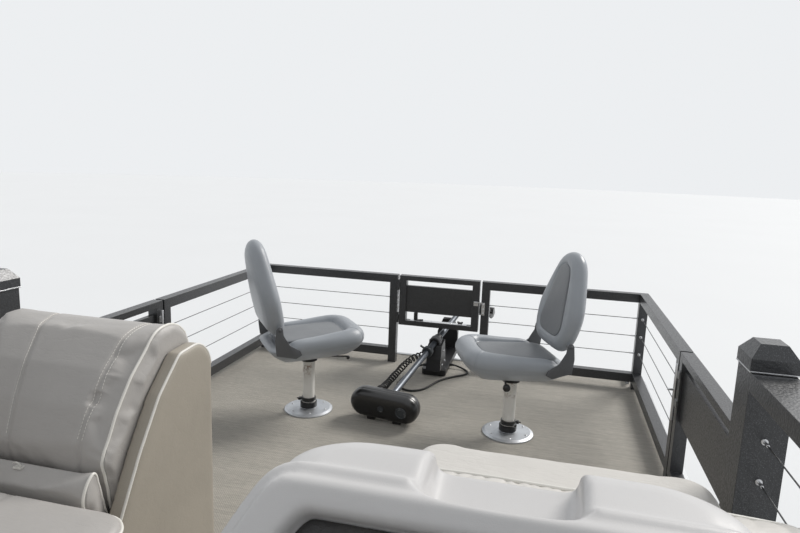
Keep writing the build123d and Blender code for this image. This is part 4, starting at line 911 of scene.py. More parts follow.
class PONTOON_OT_stage(Piece, bpy.types.Operator):
    """Studio floor at the waterline, pale surroundings and soft light"""

    bl_idname = "pontoon.stage"
    bl_label = "Stage"

    def execute(self, context):
        scene = context.scene
        scene.view_settings.view_transform = "Standard"
        bpy.ops.object.select_all(action="DESELECT")
        bpy.ops.mesh.primitive_circle_add(vertices=96, radius=60.0, fill_type="NGON", location=(0, 0, WATERLINE))
        floor = settle(context.active_object, "floor")
        tree = new_material("floor")
        base = tuple(colours().floor)
        slow = noise(tree, object_place(tree), 0.4, 2.0)
        painted = blend_colour(tree, slow, scaled(base, 0.97), base)
        shader = place(tree, "ShaderNodeBsdfPrincipled", {"Base Color": painted, "Roughness": 0.8})
        place(tree, "ShaderNodeOutputMaterial", {"Surface": shader.outputs[0]})
        floor.data.materials.append(bpy.data.materials["floor"])
        world = bpy.data.worlds.new("studio")
        scene.world = world
        world.use_nodes = True
        tree = world.node_tree
        tree.nodes.clear()
        rays = place(tree, "ShaderNodeLightPath").outputs
        seen = maths(tree, "MAXIMUM", rays["Is Camera Ray"],
                     maths(tree, "MAXIMUM", rays["Is Glossy Ray"], rays["Is Transmission Ray"]))
        strength = maths(tree, "MULTIPLY_ADD", seen, SKY_SEEN, SKY_LIGHT)
        sky = place(tree, "ShaderNodeBackground", {"Color": (0.96, 0.98, 1.0, 1.0), "Strength": strength})
        place(tree, "ShaderNodeOutputWorld", {"Surface": sky.outputs[0]})
        key = bpy.data.lights.new("key", "SUN")
        key.energy = KEY_STRENGTH
        key.angle = math.radians(KEY_SPREAD)
        key.color = (1.0, 0.97, 0.93)
        linked("key", key).rotation_euler = turned(KEY_FROM)
        return {"FINISHED"}


# Upholstery

STITCH_GAP = 0.0095
STITCH_SHARE = 0.34
THREAD = 0.0009
THREAD_LIFT = 0.0006
RAYS = 40
PIPING_GAP = 0.012
OUTLINE_TRIES = 10
OUTLINE_STEP = 0.004
OUTLINE_LEAST = 20


def stitches(name, line):
    """Row of separate stitches along a line of points, as one mesh of short bars."""
    total = length_of(line)
    count = max(2, int(total / STITCH_GAP))
    points, faces = [], []
    for index in range(count):
        middle, heading = along_line(line, (index + 0.5) * total / count)
        side = heading.cross(Vector((0, 0, 1))).normalized() * THREAD
        lift = side.cross(heading)
        first = len(points)
        for end in (-STITCH_SHARE, STITCH_SHARE):
            foot = middle + heading * (end * total / count)
            points += [foot + side, foot + lift, foot - side, foot - lift]
        for corner in range(4):
            after = (corner + 1) % 4
            faces.append((first + corner, first + after, first + 4 + after, first + 4 + corner))
        faces.append((first + 3, first + 2, first + 1, first))
        faces.append((first + 4, first + 5, first + 6, first + 7))
    return finish(from_faces(name, points, faces), "piping_vinyl", "boat")


def surface_line(obj, start, end, lift=0.0):
    """Points below a level run, given as (x, y), on the top of a piece."""
    line = []
    for index in range(RAYS + 1):
        x, y = Vector(start).lerp(Vector(end), index / RAYS)
        hit, spot, normal, _ = obj.ray_cast((x, y, up(1.2)), (0, 0, -1))
        if hit:
            line.append(spot + normal * lift)
    return line


def cushion(name, node, material, body="boat", voxel=0.009, cap=0.012, shrink=0.007, fine=True):
    """Padded copy of a CAD solid that takes its place."""
    obj = pad(name, node, voxel, cap, shrink, fine=fine)
    finish(obj, material, body)
    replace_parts(obj, node)
    return obj


def edge_loop(obj, plane_co, plane_no):
    """Ordered points of the longest outline where a plane cuts a piece."""
    mesh = bmesh.new()
    mesh.from_mesh(obj.data)
    whole = mesh.verts[:] + mesh.edges[:] + mesh.faces[:]
    cut = bmesh.ops.bisect_plane(mesh, geom=whole, plane_co=plane_co, plane_no=plane_no)
    mesh.verts.index_update()
    places, links = {}, {}
    for item in cut["geom_cut"]:
        if isinstance(item, bmesh.types.BMEdge):
            first, second = item.verts
            for one, other in ((first, second), (second, first)):
                places[one.index] = one.co.copy()
                links.setdefault(one.index, []).append(other.index)
    mesh.free()
    best, seen = [], set()
    for start in links:
        run, here = [], start
        while here is not None and here not in seen:
            seen.add(here)
            run.append(places[here])
            here = next((other for other in links[here] if other not in seen), None)
        if len(run) > len(best):
            best = run
    return best


def thinned(line):
    """Points of a line at least a gap apart."""
    kept = [line[0]]
    for point in line[1:]:
        if (point - kept[-1]).length >= PIPING_GAP:
            kept.append(point)
    return kept


def trimmed(line, keep):
    """Longest run of a closed outline whose points pass a test."""
    flags = [bool(keep(point)) for point in line]
    if all(flags):
        return line
    start = flags.index(False)
    runs = [[]]
    for point in line[start:] + line[:start]:
        if keep(point):
            runs[-1].append(point)
        else:
            runs.append([])
    return max(runs, key=len)


def outline_piping(name, obj, origin, normal, keep=None, lift=0.0015):
    """Piping where a plane cuts a pad, set out a little from its skin."""
    origin, normal = Vector(origin), Vector(normal)
    middle = sum((vertex.co for vertex in obj.data.vertices), Vector()) / len(obj.data.vertices)
    inward = normal if (middle - origin).dot(normal) > 0 else -normal
    line = edge_loop(obj, origin, normal)
    for _ in range(OUTLINE_TRIES):
        if len(line) > OUTLINE_LEAST:
            break
        origin = origin + inward * OUTLINE_STEP
        line = edge_loop(obj, origin, normal)
    if keep:
        line = trimmed(line, keep)
    line = thinned(line)
    middle = sum(line, Vector()) / len(line)
    moved = [point + (point - middle).normalized() * lift for point in line]
    return finish(wire(name, moved, sizes().piping / 2, keep is None), "piping_vinyl", "boat")


def crosswise(obj, node, axis, shares, width, depth, lies):
    """Seams across a pad at shares of its CAD solid's length along an axis."""
    low, high = [corner[axis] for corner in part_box(node)]
    for share in shares:
        cut = low + (high - low) * share
        groove(obj, lambda p, cut=cut: p[axis] - cut, width, depth, lies)


LOUNGE_SEAM_Y = 0.515
LOUNGE_END_Y = 0.434
CHANNEL_X, CHANNEL_Y, CHANNEL_SLOPE = -2.137, 0.85, 0.35
HOOK_SPOT = (at(-2.494), 0.672)


class PONTOON_OT_lounge(Piece, bpy.types.Operator):
    """Port lounge: backrest, lumbar roll, seat, side backrest and end panel, with seams and piping"""

    bl_idname = "pontoon.lounge"
    bl_label = "Port lounge"

    def execute(self, context):
        self.backrest()
        self.roll()
        seat = cushion("lounge_seat_cushion", "lounge_seat", "grey_vinyl", voxel=0.016, cap=0.014, shrink=0.008)
        outline_piping("lounge_seat_piping", seat, (0, 0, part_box("lounge_seat")[1].z - 0.026), (0, 0, 1))
        crosswise(seat, "lounge_seat", 1, [0.5], 0.02, 0.006, lambda p, n: n.z > 0.5)
        crosswise(seat, "lounge_seat", 0, [0.34, 0.67], 0.02, 0.006, lambda p, n: n.z > 0.5)
        side = cushion("lounge_side_backrest", "lounge_side", "grey_vinyl", voxel=0.012, fine=False)
        crosswise(side, "lounge_side", 0, [0.25, 0.5, 0.75], 0.018, 0.006, lambda p, n: n.y < 0.3)
        outline_piping("lounge_side_piping", side, (0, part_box("lounge_side")[0].y + 0.02, 0), (0, 1, 0),
                       keep=lambda p: p.z > up(0.36), lift=0.0)
        panel = pad("lounge_end_panel", "lounge_panel", 0.011, 0.004, 0.001)
        finish(panel, "panel_vinyl", "boat")
        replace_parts(panel, "lounge_panel")
        outline_piping("lounge_panel_piping", panel, (0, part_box("lounge_panel")[0].y + 0.008, 0), (0, 1, 0),
                       keep=lambda p: p.z > up(0.03) and p.x < at(-2.03), lift=0.0)
        return {"FINISHED"}

    def backrest(self):
        """Rolled backrest with its double-stitched seam and its slanted channel."""
        back = cushion("lounge_backrest", "lounge_back", "grey_vinyl", voxel=0.010, cap=0.014, shrink=0.008)

        def channel(x):
            return CHANNEL_Y + (x - at(CHANNEL_X)) * CHANNEL_SLOPE

        def upper(point, normal):
            return point.z > up(0.45) and normal.x < 0.75

        groove(back, lambda p: p.y - LOUNGE_SEAM_Y, 0.016, 0.007, upper)
        groove(back, lambda p: p.y - channel(p.x), 0.014, 0.006, upper)
        for offset in (-0.007, 0.007):
            y = LOUNGE_SEAM_Y + offset
            line = surface_line(back, (at(-2.10), y), (at(-2.471), y), THREAD_LIFT)
            stitches(f"lounge_stitch_{offset > 0:d}", line)
        ends = [(at(x), channel(at(x)) + 0.006) for x in (-2.09, -2.47)]
        stitches("lounge_stitch_channel", surface_line(back, *ends, THREAD_LIFT))
        outline_piping("lounge_back_piping", back, (0, LOUNGE_END_Y + 0.012, 0), (0, 1, 0),
                       keep=lambda p: p.z > up(0.36))

    def roll(self):
        """Lumbar roll with the snap hook that lies on its seam."""
        roll = cushion("lounge_roll", "lounge_bolster", "grey_vinyl", voxel=0.009, cap=0.01, shrink=0.005)
        outline_piping("lounge_roll_piping", roll, (0, LOUNGE_END_Y + 0.012, 0), (0, 1, 0),
                       keep=lambda p: p.z > up(0.345))
        spot = surface_line(roll, HOOK_SPOT, HOOK_SPOT)[0]
        base = block("base", spot + Vector((-0.008, -0.013, -0.002)), spot + Vector((0.008, 0.013, 0.004)), 0.0012)
        bend = [(0, -0.006, 0.002), (-0.004, -0.010, 0.010), (-0.006, -0.004, 0.017), (-0.005, 0.006, 0.017),
                (-0.003, 0.013, 0.012), (0.001, 0.019, 0.009)]
        loop = wire("loop", [spot + Vector(step) for step in bend], 0.0022)
        finish(joined("lounge_hook", [base, loop]), "white_plastic", "boat")


class PONTOON_OT_benches(Piece, bpy.types.Operator):
    """Bench ahead of the console and bench at the stern, with gathers, channels and piping"""

    bl_idname = "pontoon.benches"
    bl_label = "Benches"

    def execute(self, context):
        back = cushion("bench_backrest", "bench_back", "pale_vinyl", voxel=0.009)
        self.gathers(back)
        outline_piping("bench_back_piping", back, (at(-2.608), 0, 0), (1, 0, 0), keep=lambda p: p.z > up(0.52))
        seat = cushion("bench_seat_cushion", "bench_seat", "pale_vinyl", voxel=0.012, cap=0.014, shrink=0.008)
        outline_piping("bench_seat_piping", seat, (0, 0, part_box("bench_seat")[1].z - 0.030), (0, 0, 1))
        seat = cushion("stern_seat_cushion", "stern_bench_seat", "pale_vinyl", voxel=0.013, cap=0.014,
                       shrink=0.008, fine=False)
        crosswise(seat, "stern_bench_seat", 1, [0.333, 0.667], 0.02, 0.007, lambda p, n: n.z > 0.2 or n.x > 0.5)
        outline_piping("stern_seat_piping", seat, (0, 0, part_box("stern_bench_seat")[1].z - 0.026), (0, 0, 1))
        back = cushion("stern_backrest", "stern_bench_back", "pale_vinyl", voxel=0.013, cap=0.014, shrink=0.008,
                       fine=False)
        crosswise(back, "stern_bench_back", 1, [0.333, 0.667], 0.02, 0.007, lambda p, n: n.z > 0.2 or n.x > 0.3)
        low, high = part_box("stern_bench_back")
        for index, y in enumerate((low.y + 0.014, high.y - 0.014)):
            outline_piping(f"stern_back_piping_{index}", back, (0, y, 0), (0, 1, 0),
                           keep=lambda p: p.z > up(0.36), lift=0.0005)
        return {"FINISHED"}

    def gathers(self, back):
        """Puckers of uneven length and depth along the crest of a backrest."""
        low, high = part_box("bench_back")
        random.seed(11)
        spot = low.y + 0.05
        while spot < high.y - 0.05:
            lean = random.uniform(-0.25, 0.25)
            deep = random.uniform(0.0018, 0.0045)
            reach = random.uniform(0.05, 0.12)
            wide = random.uniform(0.010, 0.020)

            def line(p, spot=spot, lean=lean):
                return p.y - spot - (p.x - at(-2.62)) * lean

            def crest(p, n, reach=reach):
                return at(-2.61) > p.x > at(-2.62) - reach and n.z > 0.0 and p.z > up(0.62)

            groove(back, line, wide, deep, crest)
            spot += random.uniform(0.016, 0.040)


# Fishing seats

# columns: name, x from the bow rail, y, heading in degrees
FISHING_SEATS = [("port", -0.879, 0.522, -52.0), ("starboard", -0.839, -0.514, 112.0)]
SEAT_LOW = 0.300
SEAT_RISE = 3.0
BACK_BOTTOM = 0.440
BACK_LEAN = 12.0
BACK_MIDDLE = -0.190
FOLD_X, FOLD_UP = -0.200, 0.500
# columns: ahead or up, to the side, radius
SEAT_ROUND = [(0.150, 0.082, 0.118), (0, 0.080, 0.128), (-0.130, 0.096, 0.100)]
SEAT_DISH = [(0.112, 0.066, 0.062), (-0.122, 0.082, 0.060)]
BACK_ROUND = [(0.340, 0, 0.132), (0.188, 0.062, 0.142), (0.112, 0.084, 0.106)]
BACK_DISH = [(0.338, 0, 0.076), (0.126, 0.064, 0.062)]
# columns: out from the middle plane, inset, shrink
BACK_RINGS = [
    (-0.0505, 0.075, 0.35), (-0.0500, 0.075, 0.7), (-0.0487, 0.072, 1), (-0.0455, 0.059, 1),
    (-0.0400, 0.041, 1), (-0.0345, 0.0295, 1), (-0.0310, 0.0275, 1), (-0.0302, 0.0225, 1),
    (-0.0200, 0.0105, 1), (-0.0080, 0.0030, 1), (0.0040, 0, 1), (0.0160, 0.0022, 1), (0.0275, 0.0090, 1),
    (0.0360, 0.0200, 1), (0.0412, 0.0325, 1), (0.0430, 0.0430, 1),
]
# columns: above the post's top, inset, shrink
SEAT_RINGS = [
    (0.0098, 0.085, 0.6), (0.0098, 0.085, 1), (0.018, 0.074, 1), (0.030, 0.0535, 1), (0.045, 0.0325, 1),
    (0.060, 0.0165, 1), (0.0725, 0.0085, 1), (0.0755, 0.0100, 1), (0.0785, 0.0055, 1), (0.090, 0.0010, 1),
    (0.103, 0, 1), (0.118, 0.0030, 1), (0.130, 0.0100, 1), (0.139, 0.0220, 1),
]
RING_POINTS = 144


def both_sides(circles):
    return circles + [(along, -across, radius) for along, across, radius in circles if across]


def soft_ring(circles, spread, softness=65.0):
    """Smooth closed outline round circles. Columns: x, y, radius."""
    ring = []
    for index in range(RING_POINTS):
        angle = 2 * math.pi * index / RING_POINTS
        nx, ny = math.cos(angle), math.sin(angle)
        reaches = [x * nx + y * ny + radius for x, y, radius in circles]
        shares = [math.exp(softness * (reach - max(reaches))) for reach in reaches]
        total = sum(shares)
        x, y, radius = [sum(share * circle[key] for share, circle in zip(shares, circles)) / total
                        for key in range(3)]
        ring.append(Vector((x + (radius + spread) * nx, y + (radius + spread) * ny, 0)))
    return ring


def shrunk(ring, factor, height):
    middle = sum(ring, Vector()) / len(ring)
    return [Vector((*(middle + (point - middle) * factor).xy, height)) for point in ring]


def rings_round(circles, rows, softness=65.0):
    """Rings round the same circles. Columns: height, spread."""
    circles = both_sides(circles)
    return [shrunk(soft_ring(circles, spread, softness), 1, height) for height, spread in rows]


def ringed(name, rings, first_tip, last_tip, matrix):
    """Closed skin through rings of equal length, closed by a tip at each end."""
    count = len(rings[0])
    points = [matrix @ point for ring in rings for point in ring]
    faces = []
    for base in range(0, (len(rings) - 1) * count, count):
        for index in range(count):
            after = (index + 1) % count
            faces.append((base + index, base + after, base + count + after, base + count + index))
    for base, tip in ((0, first_tip), ((len(rings) - 1) * count, last_tip)):
        points.append(matrix @ Vector(tip))
        faces += [(base + index, base + (index + 1) % count, len(points) - 1) for index in range(count)]
    obj = from_faces(name, points, faces)
    face_outwards(obj)
    return softened(obj)


def heading_matrix(x, y, heading, height):
    """Place above the deck whose x axis follows a heading in degrees."""
    return Matrix.Translation((at(x), y, up(height))) @ Matrix.Rotation(math.radians(heading), 4, "Z")


def seat_matrix(x, y, heading):
    return heading_matrix(x, y, heading, SEAT_LOW) @ Matrix.Rotation(-math.radians(SEAT_RISE), 4, "Y")


def back_matrix(x, y, heading):
    """Middle plane of a seat back: x up the back, z ahead."""
    lean = math.radians(BACK_LEAN)
    local = Matrix((
        (-math.sin(lean), 0, math.cos(lean), BACK_MIDDLE),
        (0, -1, 0, 0),
        (math.cos(lean), 0, math.sin(lean), 0),
        (0, 0, 0, 1),
    ))
    return heading_matrix(x, y, heading, BACK_BOTTOM) @ local


def ring_blend(first, second, share):
    return [one.lerp(other, share) for one, other in zip(first, second)]


CREST = 0.1300
TAIL_TOP = 0.078


def ease(share):
    share = min(1.0, max(0.0, share))
    return share * share * (3 - 2 * share)


SEAT_SWELL = 0.003
# columns: share of the way from the rim to the dish, height
SEAT_CROWN = [(0.22, 0.1445), (0.45, 0.1465), (0.70, 0.1435), (0.88, 0.136), (0.97, 0.127)]


def seat_skin(name, matrix, body):
    """Upturned bolsters round a dished centre, over the rounded underside."""
    outer = both_sides(SEAT_ROUND)
    dish = soft_ring(both_sides(SEAT_DISH), 0.0)
    rings = [shrunk(soft_ring(outer, SEAT_SWELL - inset), shrink, above) for above, inset, shrink in SEAT_RINGS]
    rim = soft_ring(outer, SEAT_SWELL - 0.022)
    rings += [shrunk(ring_blend(rim, dish, share), 1, above) for share, above in SEAT_CROWN]
    rings += [shrunk(dish, 0.995, 0.1195), shrunk(dish, 0.6, 0.1185)]
    for ring in rings:
        for point in ring:
            if point.z > TAIL_TOP:
                behind = ease((point.x + 0.200) / 0.130)
                point.z = TAIL_TOP + (point.z - TAIL_TOP) * (0.30 + 0.70 * behind)
            if point.z > CREST:
                point.z = CREST + (point.z - CREST) * (0.55 + 0.85 * ease((point.x + 0.05) / 0.24))
    obj = finer(ringed(name, rings, (0, 0, 0.0098), (0, 0, 0.1185), matrix))
    inverse = matrix.inverted()
    for side in (1, -1):
        def seam(point, side=side):
            local = inverse @ point
            return (local.x - 0.150) * 0.72 - (side * local.y - 0.096) * 0.95

        def corner(point, normal, side=side):
            local = inverse @ point
            return local.x > 0.145 and side * local.y > 0.09 and local.z > 0.072

        groove(obj, seam, 0.008, 0.0035, corner)
    finish(obj, "seat_vinyl", body)
    return obj


def back_skin(name, matrix, body):
    """Egg-shaped back with a seam near its edge and a recess for the arched panel."""
    outer = both_sides(BACK_ROUND)
    dish = soft_ring(both_sides(BACK_DISH), 0.0)
    rings = [shrunk(soft_ring(outer, SEAT_SWELL - inset), shrink, out) for out, inset, shrink in BACK_RINGS]
    rim = soft_ring(outer, SEAT_SWELL - 0.043)
    rings += [shrunk(ring_blend(rim, dish, share), 1, out) for share, out in ((0.6, 0.0425), (0.93, 0.0405))]
    rings += [shrunk(dish, 0.99, 0.0355), shrunk(dish, 0.6, 0.0340)]
    obj = finer(ringed(name, rings, (0.21, 0, -0.0507), (0.21, 0, 0.0340), matrix))
    finish(obj, "seat_vinyl", body)
    return obj


PANEL_GAP = 0.0035


def centre_panel(name, circles, middle_x, matrix, body, low, edge, crown):
    """Padded centre panel with a rolled edge, lying in a recess."""
    outline = soft_ring(both_sides(circles), -PANEL_GAP)
    rows = [(0.6, low), (1.0, low), (1.0, (low + edge) / 2), (0.992, edge), (0.965, edge + (crown - edge) * 0.45),
            (0.90, edge + (crown - edge) * 0.75), (0.75, edge + (crown - edge) * 0.93), (0.45, crown)]
    rings = [shrunk(outline, factor, height) for factor, height in rows]
    obj = finer(ringed(name, rings, (middle_x, 0, low), (middle_x, 0, crown), matrix))
    finish(obj, "inset_vinyl", body)
    return obj


def screw_head(name, spot, axis, radius):
    """Domed head with a round recess, on a washer."""
    shares = [(0, 0), (1.45, 0), (1.45, 0.18), (1, 0.2), (0.96, 0.5), (0.6, 0.78), (0.2, 0.86), (0.16, 0.5), (0, 0.5)]
    return turned_round(name, [(radius * out, radius * high) for out, high in shares], spot, axis, 16)


BRACKET = [
    (-0.214, 0.372), (-0.120, 0.350), (-0.090, 0.366), (-0.100, 0.388), (-0.150, 0.420), (-0.180, 0.470),
    (-0.184, 0.500), (-0.190, 0.511), (-0.200, 0.516), (-0.210, 0.511), (-0.216, 0.500), (-0.222, 0.440),
]


def fold_brackets(name, x, y, heading):
    """Slim brackets on the sides of a seat that carry its folding back, with their pins."""
    level = heading_matrix(x, y, heading, 0)
    arms, pins = [], []
    for side in (1, -1):
        plane = frame_at(level @ Vector((0, side * 0.2015, 0)), level.to_3x3() @ Vector((1, 0, 0)), (0, 0, 1))
        arms.append(plate("arm", BRACKET, plane, 0.007, 0.002))
        spot = level @ Vector((FOLD_X, side * 0.205, FOLD_UP))
        arms.append(screw_head("fold_nut", spot, level.to_3x3() @ Vector((0, side, 0)), 0.0075))
        inner = level @ Vector((FOLD_X, side * 0.150, FOLD_UP))
        outer = level @ Vector((FOLD_X, side * 0.1965, FOLD_UP))
        pins.append(rod("fold_pin", inner, outer, 0.0065, 16))
    finish(joined(f"fold_brackets_{name}", arms), "bracket_coat", f"seat_{name}")
    finish(joined(f"fold_pins_{name}", pins), "bright_steel", f"seat_back_{name}")


class PONTOON_OT_fishing_seats(Piece, bpy.types.Operator):
    """Skins, centre panels, knobs, levers, clamps and screws of the two fishing seats"""

    bl_idname = "pontoon.fishing_seats"
    bl_label = "Fishing seats"

    def execute(self, context):
        for name, x, y, heading in FISHING_SEATS:
            seat_at, back_at = seat_matrix(x, y, heading), back_matrix(x, y, heading)
            seat, back = f"seat_{name}", f"seat_back_{name}"
            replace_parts(seat_skin(f"seat_skin_{name}", seat_at, seat), seat)
            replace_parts(back_skin(f"back_skin_{name}", back_at, back), back)
            fold_brackets(name, x, y, heading)
            centre_panel(f"seat_panel_{name}", SEAT_DISH, -0.005, seat_at, seat, 0.1200, 0.126, 0.1305)
            centre_panel(f"back_panel_{name}", BACK_DISH, 0.23, back_at, back, 0.0350, 0.0405, 0.0445)
            self.post_fittings(name, heading_matrix(x, y, heading, 0))
        self.knob(heading_matrix(*FISHING_SEATS[1][1:], 0))
        self.lever(heading_matrix(*FISHING_SEATS[0][1:], 0))
        return {"FINISHED"}

    def post_fittings(self, name, level):
        """Screws of the deck plate, and the clamp low on the post."""
        screws = []
        for index in range(6):
            angle = math.radians(60 * index + 18)
            spot = level @ Vector((0.095 * math.cos(angle), 0.095 * math.sin(angle), 0.0128))
            screws.append(screw_head("screw", spot, (0, 0, 1), 0.0046))
        finish(joined(f"plate_screws_{name}", screws), "bright_steel", "boat")
        profile = [(0.0300, 0.050), (0.0365, 0.050), (0.0375, 0.053), (0.0375, 0.066), (0.0365, 0.069),
                   (0.0300, 0.069)]
        ring = turned_round("clamp", profile, level.translation, (0, 0, 1), 32)
        ear = level @ Vector((-0.044, 0.012, 0.0595))
        half, reach = Vector((0.010, 0.007, 0.007)), Vector((0, 0.016, 0))
        lug = block("ear", ear - half, ear + half, 0.002)
        bolt = rod("clamp_bolt", ear - reach, ear + reach, 0.0032, 12, 0.0006)
        finish(joined(f"post_clamp_{name}", [ring, lug, bolt]), "black_plastic", "boat")

    def knob(self, level):
        spot = level @ Vector((0.062, 0.118, 0.283))
        arm = rod("knob_arm", level @ Vector((0.040, 0.020, 0.287)), spot, 0.005, 14)
        grip = [(0, -0.004), (0.008, -0.004), (0.0165, 0.002), (0.0185, 0.010), (0.0165, 0.018), (0.009, 0.023),
                (0, 0.0235)]
        knob = turned_round("knob", grip, spot, level.to_3x3() @ Vector((0.2, 1, -0.1)), 28)
        finish(joined("seat_knob_starboard", [arm, knob]), "black_plastic", "boat")

    def lever(self, level):
        end = level @ Vector((0.190, -0.070, 0.291))
        lever = rod("lever", level @ Vector((0.040, -0.014, 0.290)), end, 0.004, 12)
        profile = [(0, -0.010), (0.0075, -0.008), (0.0095, 0), (0.0075, 0.008), (0, 0.010)]
        ball = turned_round("lever_ball", profile, end - Vector((0, 0, 0.006)), (0, 0, 1), 20)
        finish(joined("seat_lever_port", [lever, ball]), "black_plastic", "boat")


# Helm

CONSOLE_MIDDLE = -0.600
DASH_TOP = (-3.036, 0.860)
DASH_LEAN = 49.1
# columns: up the dash, to the side, radius
HOOD_ROUND = [(-0.014, 0.246, 0.072), (-0.150, 0.312, 0.060), (-0.262, 0.314, 0.038)]
OPENING_ROUND = [(-0.036, 0.214, 0.030), (-0.150, 0.276, 0.030), (-0.258, 0.288, 0.014)]
# columns: out from the dash, drawn in at the sides, inset
HOOD_RINGS = [
    (-0.110, 0.070, 0.004), (-0.100, 0.062, 0), (-0.070, 0.044, 0), (-0.040, 0.028, 0), (-0.010, 0.012, 0),
    (0.004, 0.004, 0), (0.013, 0, 0.001), (0.020, 0, 0.004), (0.0245, 0, 0.010), (0.0262, 0, 0.018),
    (0.0300, 0, 0.0215), (0.0370, 0, 0.0235), (0.0425, 0, 0.0275), (0.0450, 0, 0.0340), (0.0450, 0, 0.045),
]
# columns: x from the bow rail, to the side, radius
CAP_ROUND = [(-2.975, 0.222, 0.050), (-2.982, 0.176, 0.080)]
# columns: above the deck, spread
CAP_RINGS = [
    (0.780, 0.020), (0.800, 0.030), (0.830, 0.035), (0.858, 0.034), (0.874, 0.029), (0.886, 0.020),
    (0.894, 0.008), (0.899, -0.008), (0.902, -0.026),
]
SCOOP_ROUND = [(-2.990, 0.056, 0.036), (-2.790, 0.066, 0.036)]
SCOOP_RINGS = [
    (0.850, -0.022), (0.8515, -0.010), (0.856, -0.002), (0.866, 0.001), (0.882, 0.003), (0.894, 0.007),
    (0.904, 0.016), (0.930, 0.040),
]
# columns: out from the dash, spread
OPENING_RINGS = [(0.0040, 0), (0.0300, 0), (0.0400, 0.003), (0.0470, 0.010), (0.0600, 0.024)]
BOARD_RINGS = [(0.001, -0.003), (0.010, -0.003), (0.012, -0.006), (0.0125, -0.012)]
CONSOLE_VOXEL = 0.0055
BOSS = [
    (0.0125, -0.108), (0.0125, -0.052), (0.026, -0.052), (0.032, -0.058), (0.034, -0.068), (0.036, -0.120),
    (0.046, -0.160), (0.060, -0.176), (0.060, -0.200), (0, -0.200), (0, -0.108), (0.0125, -0.108),
]
# columns: to the side, up the dash, radius
GAUGES = [(-0.17, -0.105, 0.034), (-0.08, -0.085, 0.043), (0.08, -0.085, 0.043), (0.17, -0.105, 0.034)]
CABINET_SIDE = [
    (-2.862, 0.0005), (-2.868, 0.300), (-2.880, 0.800), (-3.060, 0.815), (-3.226, 0.640), (-3.180, 0.560),
    (-3.170, 0.0005),
]
WHEEL_SPOT = (-3.350, 0.770)
WHEEL_TILT = 52.0


def dash_matrix():
    """Plane of the dash: x up the dash, y to port, z out towards the driver."""
    lean = math.radians(DASH_LEAN)
    return Matrix((
        (math.cos(lean), 0, -math.sin(lean), at(DASH_TOP[0])),
        (0, 1, 0, CONSOLE_MIDDLE),
        (math.sin(lean), 0, math.cos(lean), up(DASH_TOP[1])),
        (0, 0, 0, 1),
    ))


def narrowed(circles, drawn_in):
    return [(along, across - drawn_in, radius) for along, across, radius in circles]


def cut_away(obj, cutter):
    """Take a cutter's shape out of a piece and remove the cutter."""
    apply(obj, "BOOLEAN", operation="DIFFERENCE", object=cutter, solver="EXACT")
    bpy.data.objects.remove(cutter)


def console_skin():
    """Moulded top with its scoop, and the hooded frame round the dash, as one skin."""
    dash = dash_matrix()
    level = Matrix.Translation((at(0), CONSOLE_MIDDLE, up(0)))
    hood_rings = [
        shrunk(soft_ring(both_sides(narrowed(HOOD_ROUND, drawn)), -inset), 1, out)
        for out, drawn, inset in HOOD_RINGS
    ]
    hood = ringed("hood", hood_rings, (-0.15, 0, -0.110), (-0.15, 0, 0.045), dash)
    cap = ringed("cap", rings_round(CAP_ROUND, CAP_RINGS), (-2.98, 0, 0.780), (-2.98, 0, 0.904), level)
    skin = joined("console_skin", [hood, cap])
    remeshed(skin, CONSOLE_VOXEL)
    scoop = rings_round(SCOOP_ROUND, SCOOP_RINGS)
    cut_away(skin, ringed("scoop", scoop, (-2.9, 0, 0.850), (-2.9, 0, 0.930), level))
    opening = rings_round(OPENING_ROUND, OPENING_RINGS)
    cut_away(skin, ringed("opening", opening, (-0.15, 0, 0.004), (-0.15, 0, 0.060), dash))
    remeshed(skin, CONSOLE_VOXEL)
    apply(skin, "SMOOTH", factor=0.5, iterations=7)
    return finish(softened(skin), "cowl_plastic", "boat")


def console_box():
    """Cabinet under the moulded top, with its plinth and the driver's access door."""
    side = frame_at((at(0), CONSOLE_MIDDLE, up(0)), (1, 0, 0), (0, 0, 1))
    cabinet = plate("cabinet", CABINET_SIDE, side, 0.560, 0.028)
    plinth = block("plinth", (at(-3.176), CONSOLE_MIDDLE - 0.286, up(0.0005)),
                   (at(-2.856), CONSOLE_MIDDLE + 0.286, up(0.060)), 0.006)
    door = block("door", (at(-3.186), CONSOLE_MIDDLE - 0.210, up(0.120)),
                 (at(-3.160), CONSOLE_MIDDLE + 0.210, up(0.500)), 0.005)
    latch = turned_round("latch", [(0, 0), (0.018, 0), (0.018, 0.004), (0.010, 0.006), (0.006, 0.010), (0, 0.011)],
                         (at(-3.185), CONSOLE_MIDDLE + 0.180, up(0.310)), (-1, 0, 0), 28)
    box = joined("console_box", [cabinet, plinth, door, latch])
    return smooth(finish(box, "console_plastic", "boat"))


